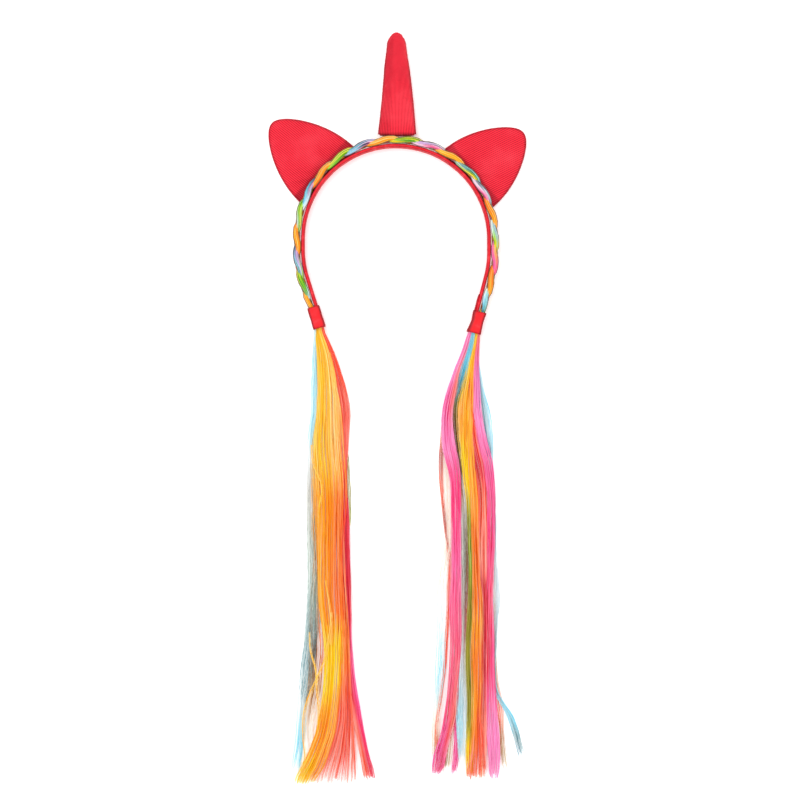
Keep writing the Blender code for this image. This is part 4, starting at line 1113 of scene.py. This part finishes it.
def makeEar(side):
    look = earLook
    ear = look[side]
    spin = Vector((math.sin(ear["turn"]), math.cos(ear["turn"]), 0))
    cross = Vector((spin.y, -spin.x, 0))
    rim = earOutline(ear)
    foot = outerRadius + look["gap"]
    corner = math.asin(ear["width"] / 2 / foot)
    baseTurns = [mix(-corner, corner, i / 24) for i in range(1, 24)]
    base = [(foot * math.sin(turn), foot * math.cos(turn)) for turn in baseTurns]
    outline = rim + base
    heart = (0.0, outerRadius + look["heart"] * ear["height"])

    def place(width, height, above):
        return hoopCentre + spin * height + cross * width + Vector((0, 0, above))

    rings = []
    shares = [0.75, 0.5, 0.3, 0.17, 0.08, 0.03, 0.0]
    for front, order in ((1, shares), (-1, shares[::-1])):
        for share in order:
            ring = []
            for width, height in outline:
                w, h = mix(width, heart[0], share), mix(height, heart[1], share)
                nearBase = 1 - smooth((h - outerRadius - look["baseFrom"]) / (look["baseShare"] * ear["height"]))
                fullest = mix(look["thickness"], look["base"], nearBase)
                thick = mix(look["rim"], fullest, math.sqrt(1 - (1 - share) ** look["fullness"]))
                ring.append(place(w, h, look["middle"] + front * thick / 2))
            rings.append(ring)
    hubs = [place(*heart, look["middle"] + front * look["thickness"] / 2) for front in (1, -1)]
    mesh = skinned(f"ear_{side}", rings, hubs)
    rimPoints = np.array([place(w, h, 0.0)[:2] for w, h in outline])

    def edges(point):  # how far it is from the rim, and above the hoop
        away = np.linalg.norm(rimPoints - np.array(point[:2]), axis=1).min()
        return away, (Vector(point) - hoopCentre).dot(spin) - outerRadius

    def held(point):
        away, height = edges(point)
        return 1.0 if height < look["heldBase"] else max(0.0, 1.0 - away / look["heldRim"])

    def rib(maker, where):
        x, y, _ = maker.split(where)
        return (x * ear["ribs"][0] + y * ear["ribs"][1]) / clothLook["ribPitch"]

    def along(maker, where):
        x, y, _ = maker.split(where)
        return (x * ear["ribs"][1] - y * ear["ribs"][0]) / clothLook["threadPitch"]

    def shadeAt(point):
        # painted shade: darker where the cloth turns under at its rim, and in the fold by the hoop
        away, height = edges(point)
        atRim, inFold = 1 - smooth(away / (2.4 * mm)), 1 - smooth((height - 5.4 * mm) / (2.2 * mm))
        return look["rimShade"] * atRim + look["foldShade"] * inFold

    cloth = ribbedCloth(f"red_ribbed_{side}", rib, along)
    pad = stuffed(f"ear_{side}_cloth", mesh, cloth, held, shadeAt)
    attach(pad, "root")
    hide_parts(f"ear_{side}")
    # the seam round the rim: both layers pressed to a narrow edge
    rings = []
    travelled = 0.0
    last = None
    for i, (width, height) in enumerate(rim):
        before, after = rim[max(0, i - 1)], rim[min(len(rim) - 1, i + 1)]
        tangent = (cross * (after[0] - before[0]) + spin * (after[1] - before[1])).normalized()
        outward = Vector((tangent.y, -tangent.x, 0))
        if outward.dot(cross * width + spin * (height - heart[1])) < 0:
            outward = -outward
        point = place(width, height, look["middle"])
        travelled += (point - last).length if last else 0.0
        last = point
        ring = []
        for k, turn in enumerate(turns(12)):
            bulge = 1 + 0.12 * noise.noise(point * 900 + Vector((k, 0, 0)))
            reach = math.cos(turn) * look["seam"] * bulge - 0.2 * mm
            ring.append(point + outward * reach + up * math.sin(turn) * look["seamHigh"] * bulge)
        # painted shade: the seam takes the rim's shade all along
        rings.append((travelled, ring, [look["rimShade"]] * len(ring)))
    seam = sweep(f"ear_{side}_seam", rings, seamRed)
    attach(seam, "root")


seamRed = satinCloth("red_seam", {**satinLook, "dull": paint(170, 14, 40), "weave": 0.9 * mm})
makeEar("left")
makeEar("right")
print("ears: stuffed cloth with a seam")


hornLook = {
    "height": 72.8 * mm, "baseWidth": 26.6 * mm, "topWidth": 14.4 * mm, "baseDepth": 12.2 * mm, "topDepth": 8.8 * mm,
    "tip": 9.6 * mm, "offset": 0.7 * mm, "foot": 5.8 * mm, "ribPitch": 1.15 * mm,
    "rest": 0.25 * mm,  # its underside above the surface
    "sway": 0.35 * mm, "swayTurns": 5.1, "heldFoot": 2.0 * mm, "heldEdge": 2.0 * mm,
    "turnedShade": 0.2, "edgeShade": 0.5, "footShade": 0.35,
    "seamSteps": 60, "seamWide": 0.4 * mm, "seamHigh": 0.8 * mm, "seamShade": 0.4,
    "frays": 150, "frayLength": 1.5 * mm,
}


def makeHorn():
    look = hornLook
    straight = look["height"] - look["tip"]
    bottom = hoopSizes["thickness"] / 2 + look["foot"]

    def wideAt(height):  # the sides lean in more towards the round tip
        share = clamp(height / straight)
        past = clamp((height - straight) / look["tip"])
        slim = (1 - 0.08 * smooth((share - 0.72) / 0.28)) * (1 - 0.12 * past)
        return mix(look["baseWidth"], look["topWidth"], share) * slim * math.cos(math.asin(past))

    def swayAt(height):  # its middle isn't quite straight
        return look["offset"] + look["sway"] * math.sin(height / look["height"] * look["swayTurns"])

    sections = [(0.0, 0.90, 0.62), (0.4 * mm, 0.96, 0.8), (1.6 * mm, 1.0, 1.0)]
    sections = [(h, look["baseWidth"] * w, look["baseDepth"] * d) for h, w, d in sections]
    for share in (i / 24 for i in range(1, 25)):
        sections.append((straight * share, wideAt(straight * share), mix(look["baseDepth"], look["topDepth"], share)))
    for turn in (6, 12, 18, 25, 38, 50, 62, 74, 84):
        height = straight + look["tip"] * math.sin(math.radians(turn))
        sections.append((height, wideAt(height), look["topDepth"] * math.cos(math.radians(turn))))
    rings = []
    for height, width, depth in sections:
        middle = look["rest"] + max(depth, look["topDepth"]) / 2
        ring = []
        for turn in turns(48):
            across, high = width / 2 * math.cos(turn), depth / 2 * math.sin(turn)
            ring.append(Vector((swayAt(height) + across, bottom + height, middle + high)))
        rings.append(ring)
    hubs = [Vector((look["offset"], bottom + 0.4 * mm, 4.5 * mm)),
            Vector((look["offset"], bottom + look["height"], look["rest"] + look["topDepth"] / 2))]
    mesh = skinned("horn", rings, hubs)

    def edges(point):  # how far it is above the foot, half the width there, and how far it is from the side
        height = point[1] - bottom
        half = mix(look["baseWidth"], look["topWidth"], clamp(height / straight)) / 2
        return height, half, half - abs(point[0] - look["offset"])

    def held(point):
        height, _, edge = edges(point)
        return 1.0 if height < look["heldFoot"] else max(0.0, 1.0 - edge / look["heldEdge"])

    def rib(maker, where):
        x, y, _ = maker.split(where)
        taper = 1 - (y - bottom) * ((1 - look["topWidth"] / look["baseWidth"]) / straight)
        return (x - look["offset"]) / taper / look["ribPitch"]

    def along(maker, where):
        return maker.split(where)[1] / clothLook["threadPitch"]

    def shadeAt(point):
        # painted shade: darker on the side away from the light, along the sides and at the foot
        height, half, edge = edges(point)
        turned = 1 - smooth((point[0] - look["offset"]) / half * 3 + 1.6)  # the side away from the light
        atEdge, atFoot = 1 - smooth(edge / (1.8 * mm)), 1 - smooth(height / (2.0 * mm))
        return look["turnedShade"] * turned + look["edgeShade"] * atEdge + look["footShade"] * atFoot

    pad = stuffed("horn_cloth", mesh, ribbedCloth("red_ribbed_horn", rib, along), held, shadeAt)
    # a seam down each side, with short pale threads that have come out of it
    frays = []
    for name, side in sideSign.items():
        rings = []
        for i in range(look["seamSteps"] + 1):
            height = mix(1.0 * mm, straight + look["tip"] * 0.55, i / look["seamSteps"])
            depth = mix(look["baseDepth"], look["topDepth"], clamp(height / straight))
            edge = swayAt(height) + side * (wideAt(height) / 2 - 0.15 * mm)
            point = Vector((edge, bottom + height, look["rest"] + depth / 2))
            bulge = 1 + 0.3 * wrinkle(height * 900, side, 0.3)
            ring = [point + Vector((math.cos(turn) * look["seamWide"] * bulge, 0, math.sin(turn) * look["seamHigh"]))
                    for turn in turns(10)]
            rings.append((height, ring, [look["seamShade"]] * len(ring)))
            if i % 2 and side < 0 or i % 7 == 0:
                reach = look["frayLength"] * (0.5 + 0.5 * abs(wrinkle(height * 700, 3.0, side)) * 2)
                tip = point + Vector((side * reach, 0.4 * mm * side, 0.2 * mm))
                wide = Vector((0, 0.9 * mm, 0))
                frays.append([(mix(point, tip, k / 4), wide, up * 1.2 * mm, k / 4, 1.0) for k in range(5)])
        seam = sweep(f"horn_seam_{name}", rings, seamRed)
        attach(seam, "root")
    pale = [(0.0, paint(232, 90, 104)), (1.0, paint(250, 200, 200))]
    threads = growHair(
        "horn_frays", frays, hairDye("fray_threads", pale, pale, 5.0), Hairs=round(look["frays"] / len(frays)),
        Points=5, Seed=7, Radius=0.05 * mm, Wander=0.3 * mm, Ragged=0.6, Gather=0.0)
    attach(threads, "root")
    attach(pad, "root")
    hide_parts("horn")


makeHorn()
print("horn: stuffed cloth")


cuffLook = {
    "length": 15.5 * mm, "overhang": 1.2 * mm, "inner": -1.5 * mm, "outer": 5.7 * mm, "half": 4.0 * mm,
    "wall": 0.9 * mm, "lining": 0.12 * mm, "lip": 0.18 * mm, "rest": 0.05 * mm, "steps": 14,
    "crease": 0.32 * mm, "wrinkle": 0.10 * mm, "ridge": 0.30 * mm,
    # share of the length, and how far the inner and outer sides stand out, in millimetres
    "left": ((0.0, 0.0, -0.1), (0.5, -0.15, -0.2), (1.0, 0.0, 0.1)),
    "right": ((0.0, 0.35, 0.2), (0.45, -0.2, -0.35), (0.8, 0.6, -0.15), (1.0, 1.45, 0.3)),
    "edgeShade": 0.85, "endShade": 0.5, "foldShade": 0.34, "insideShade": 0.25,
}


def makeCuff(side):
    look = cuffLook
    shape = look[side]
    steps = look["steps"]
    end = hoopEnd(side) + look["overhang"]
    rows = []
    # down its outer face and back up inside it, with the wall, the corner's radius and the share of the creases
    for wall, corner, reach, order in (
            (look["wall"], 1.1 * mm, 1.0, range(steps + 1)), (look["lining"], 0.7 * mm, 0.25, range(steps, -1, -1))):
        for i in order:
            share = i / steps
            low, high = (float(np.interp(share, [s[0] for s in shape], [s[k] for s in shape])) * mm for k in (1, 2))
            inner, outer = look["inner"] - low - wall, look["outer"] + high + wall
            half = look["half"] + wall
            lip = 0.0 if 0 < i < steps else -look["lip"]
            point, out = hoopFrame(sideSign[side] * (end - look["length"] * (1 - share)))
            ring, shades = [], []
            for across, rise in roundedSection((outer - inner) / 2 + lip, half + lip, corner):
                crease = wrinkle(share * 3.4, across * 260, rise * 120 + sideSign[side] * 5) * look["crease"]
                crease += wrinkle(share * 9.0, across * 900, rise * 300) * look["wrinkle"]
                part = across / (outer - inner)
                top = rise > half * 0.6
                ridge = look["ridge"] * math.exp(-((part + 0.18) / 0.07) ** 2) if top else 0.0
                sideways = (inner + outer) / 2 + across + crease * reach * math.copysign(0.6, across)
                height = hoopSizes["endHeight"] + rise + (crease + ridge) * reach * (1 if rise > 0 else 0)
                ring.append(point + out * sideways + up * max(look["rest"], height))
                # painted shade: darker at the sides and ends of the top face, over the right cuff's inner third, and
                # everywhere off the top face
                edge = smooth((abs(part) - 0.3) / 0.15) * look["edgeShade"]
                fold = look["foldShade"] * (part < -0.2) * (side == "right")
                ends = look["endShade"] * max(0.0, 1 - min(i, steps - i) / 1.2)
                shades.append(min(0.8, edge + fold + ends) if top else look["insideShade"])
            rows.append(((share if reach == 1.0 else 2.2 - share) * look["length"], ring, shades))
    cuff = sweep(f"cuff_{side}_ribbon", rows, cuffSatin, closed=False)
    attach(cuff, "root")
    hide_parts(f"cuff_{side}")


cuffSatin = satinCloth("red_ribbon", {**satinLook, "bright": paint(236, 26, 36), "dull": paint(206, 4, 20)})
makeCuff("left")
makeCuff("right")
print("cuffs: wound ribbon")


studio = {
    "sky": 0.93, "floor": paint(254, 254, 254), "glow": 0.16, "floorHalf": 3.0,
    # power, place and size of each lamp
    "lamps": {"key": (12.5, (-0.55, 0.35, 1.5), 1.1), "fill": (7.0, (0.9, -0.9, 1.3), 1.4)},
    "lookAt": Vector((0, -0.18, 0)), "camera": (2.8 * mm, -177.8 * mm, 1.405), "lens": 90, "sensor": 36,
}


def makeStudio():
    mesh = bpy.data.meshes.new("floor")
    reach = studio["floorHalf"]
    mesh.from_pydata([(x * reach, y * reach, 0) for x, y in ((-1, -1), (1, -1), (1, 1), (-1, 1))], [], [(0, 1, 2, 3)])
    material, _, _ = newMaterial(
        "floor_white", Roughness=0.9, Base_Color=studio["floor"], Specular_IOR_Level=0.1,
        Emission_Color=(1, 1, 1, 1), Emission_Strength=studio["glow"])
    mesh.materials.append(material)
    floor = placed("floor", mesh)
    world = bpy.data.worlds.new("studio")
    bpy.context.scene.world = world
    world.use_nodes = True
    back = world.node_tree.nodes["Background"]
    back.inputs["Color"].default_value = (1, 1, 1, 1)
    back.inputs["Strength"].default_value = studio["sky"]
    for name, (power, place, size) in studio["lamps"].items():
        lamp = bpy.data.lights.new(name, "AREA")
        lamp.size = size
        lamp.energy = power
        thing = placed(name, lamp)
        thing.location = place
        thing.rotation_euler = (studio["lookAt"] - Vector(place)).to_track_quat("-Z", "Y").to_euler()
    lens = bpy.data.cameras.new("camera")
    lens.lens = studio["lens"]
    lens.sensor_width = studio["sensor"]
    camera = placed("camera", lens)
    camera.location = studio["camera"]
    bpy.context.scene.camera = camera
    bpy.context.scene.view_settings.view_transform = "Standard"


makeStudio()
print("studio: floor, lights and camera")
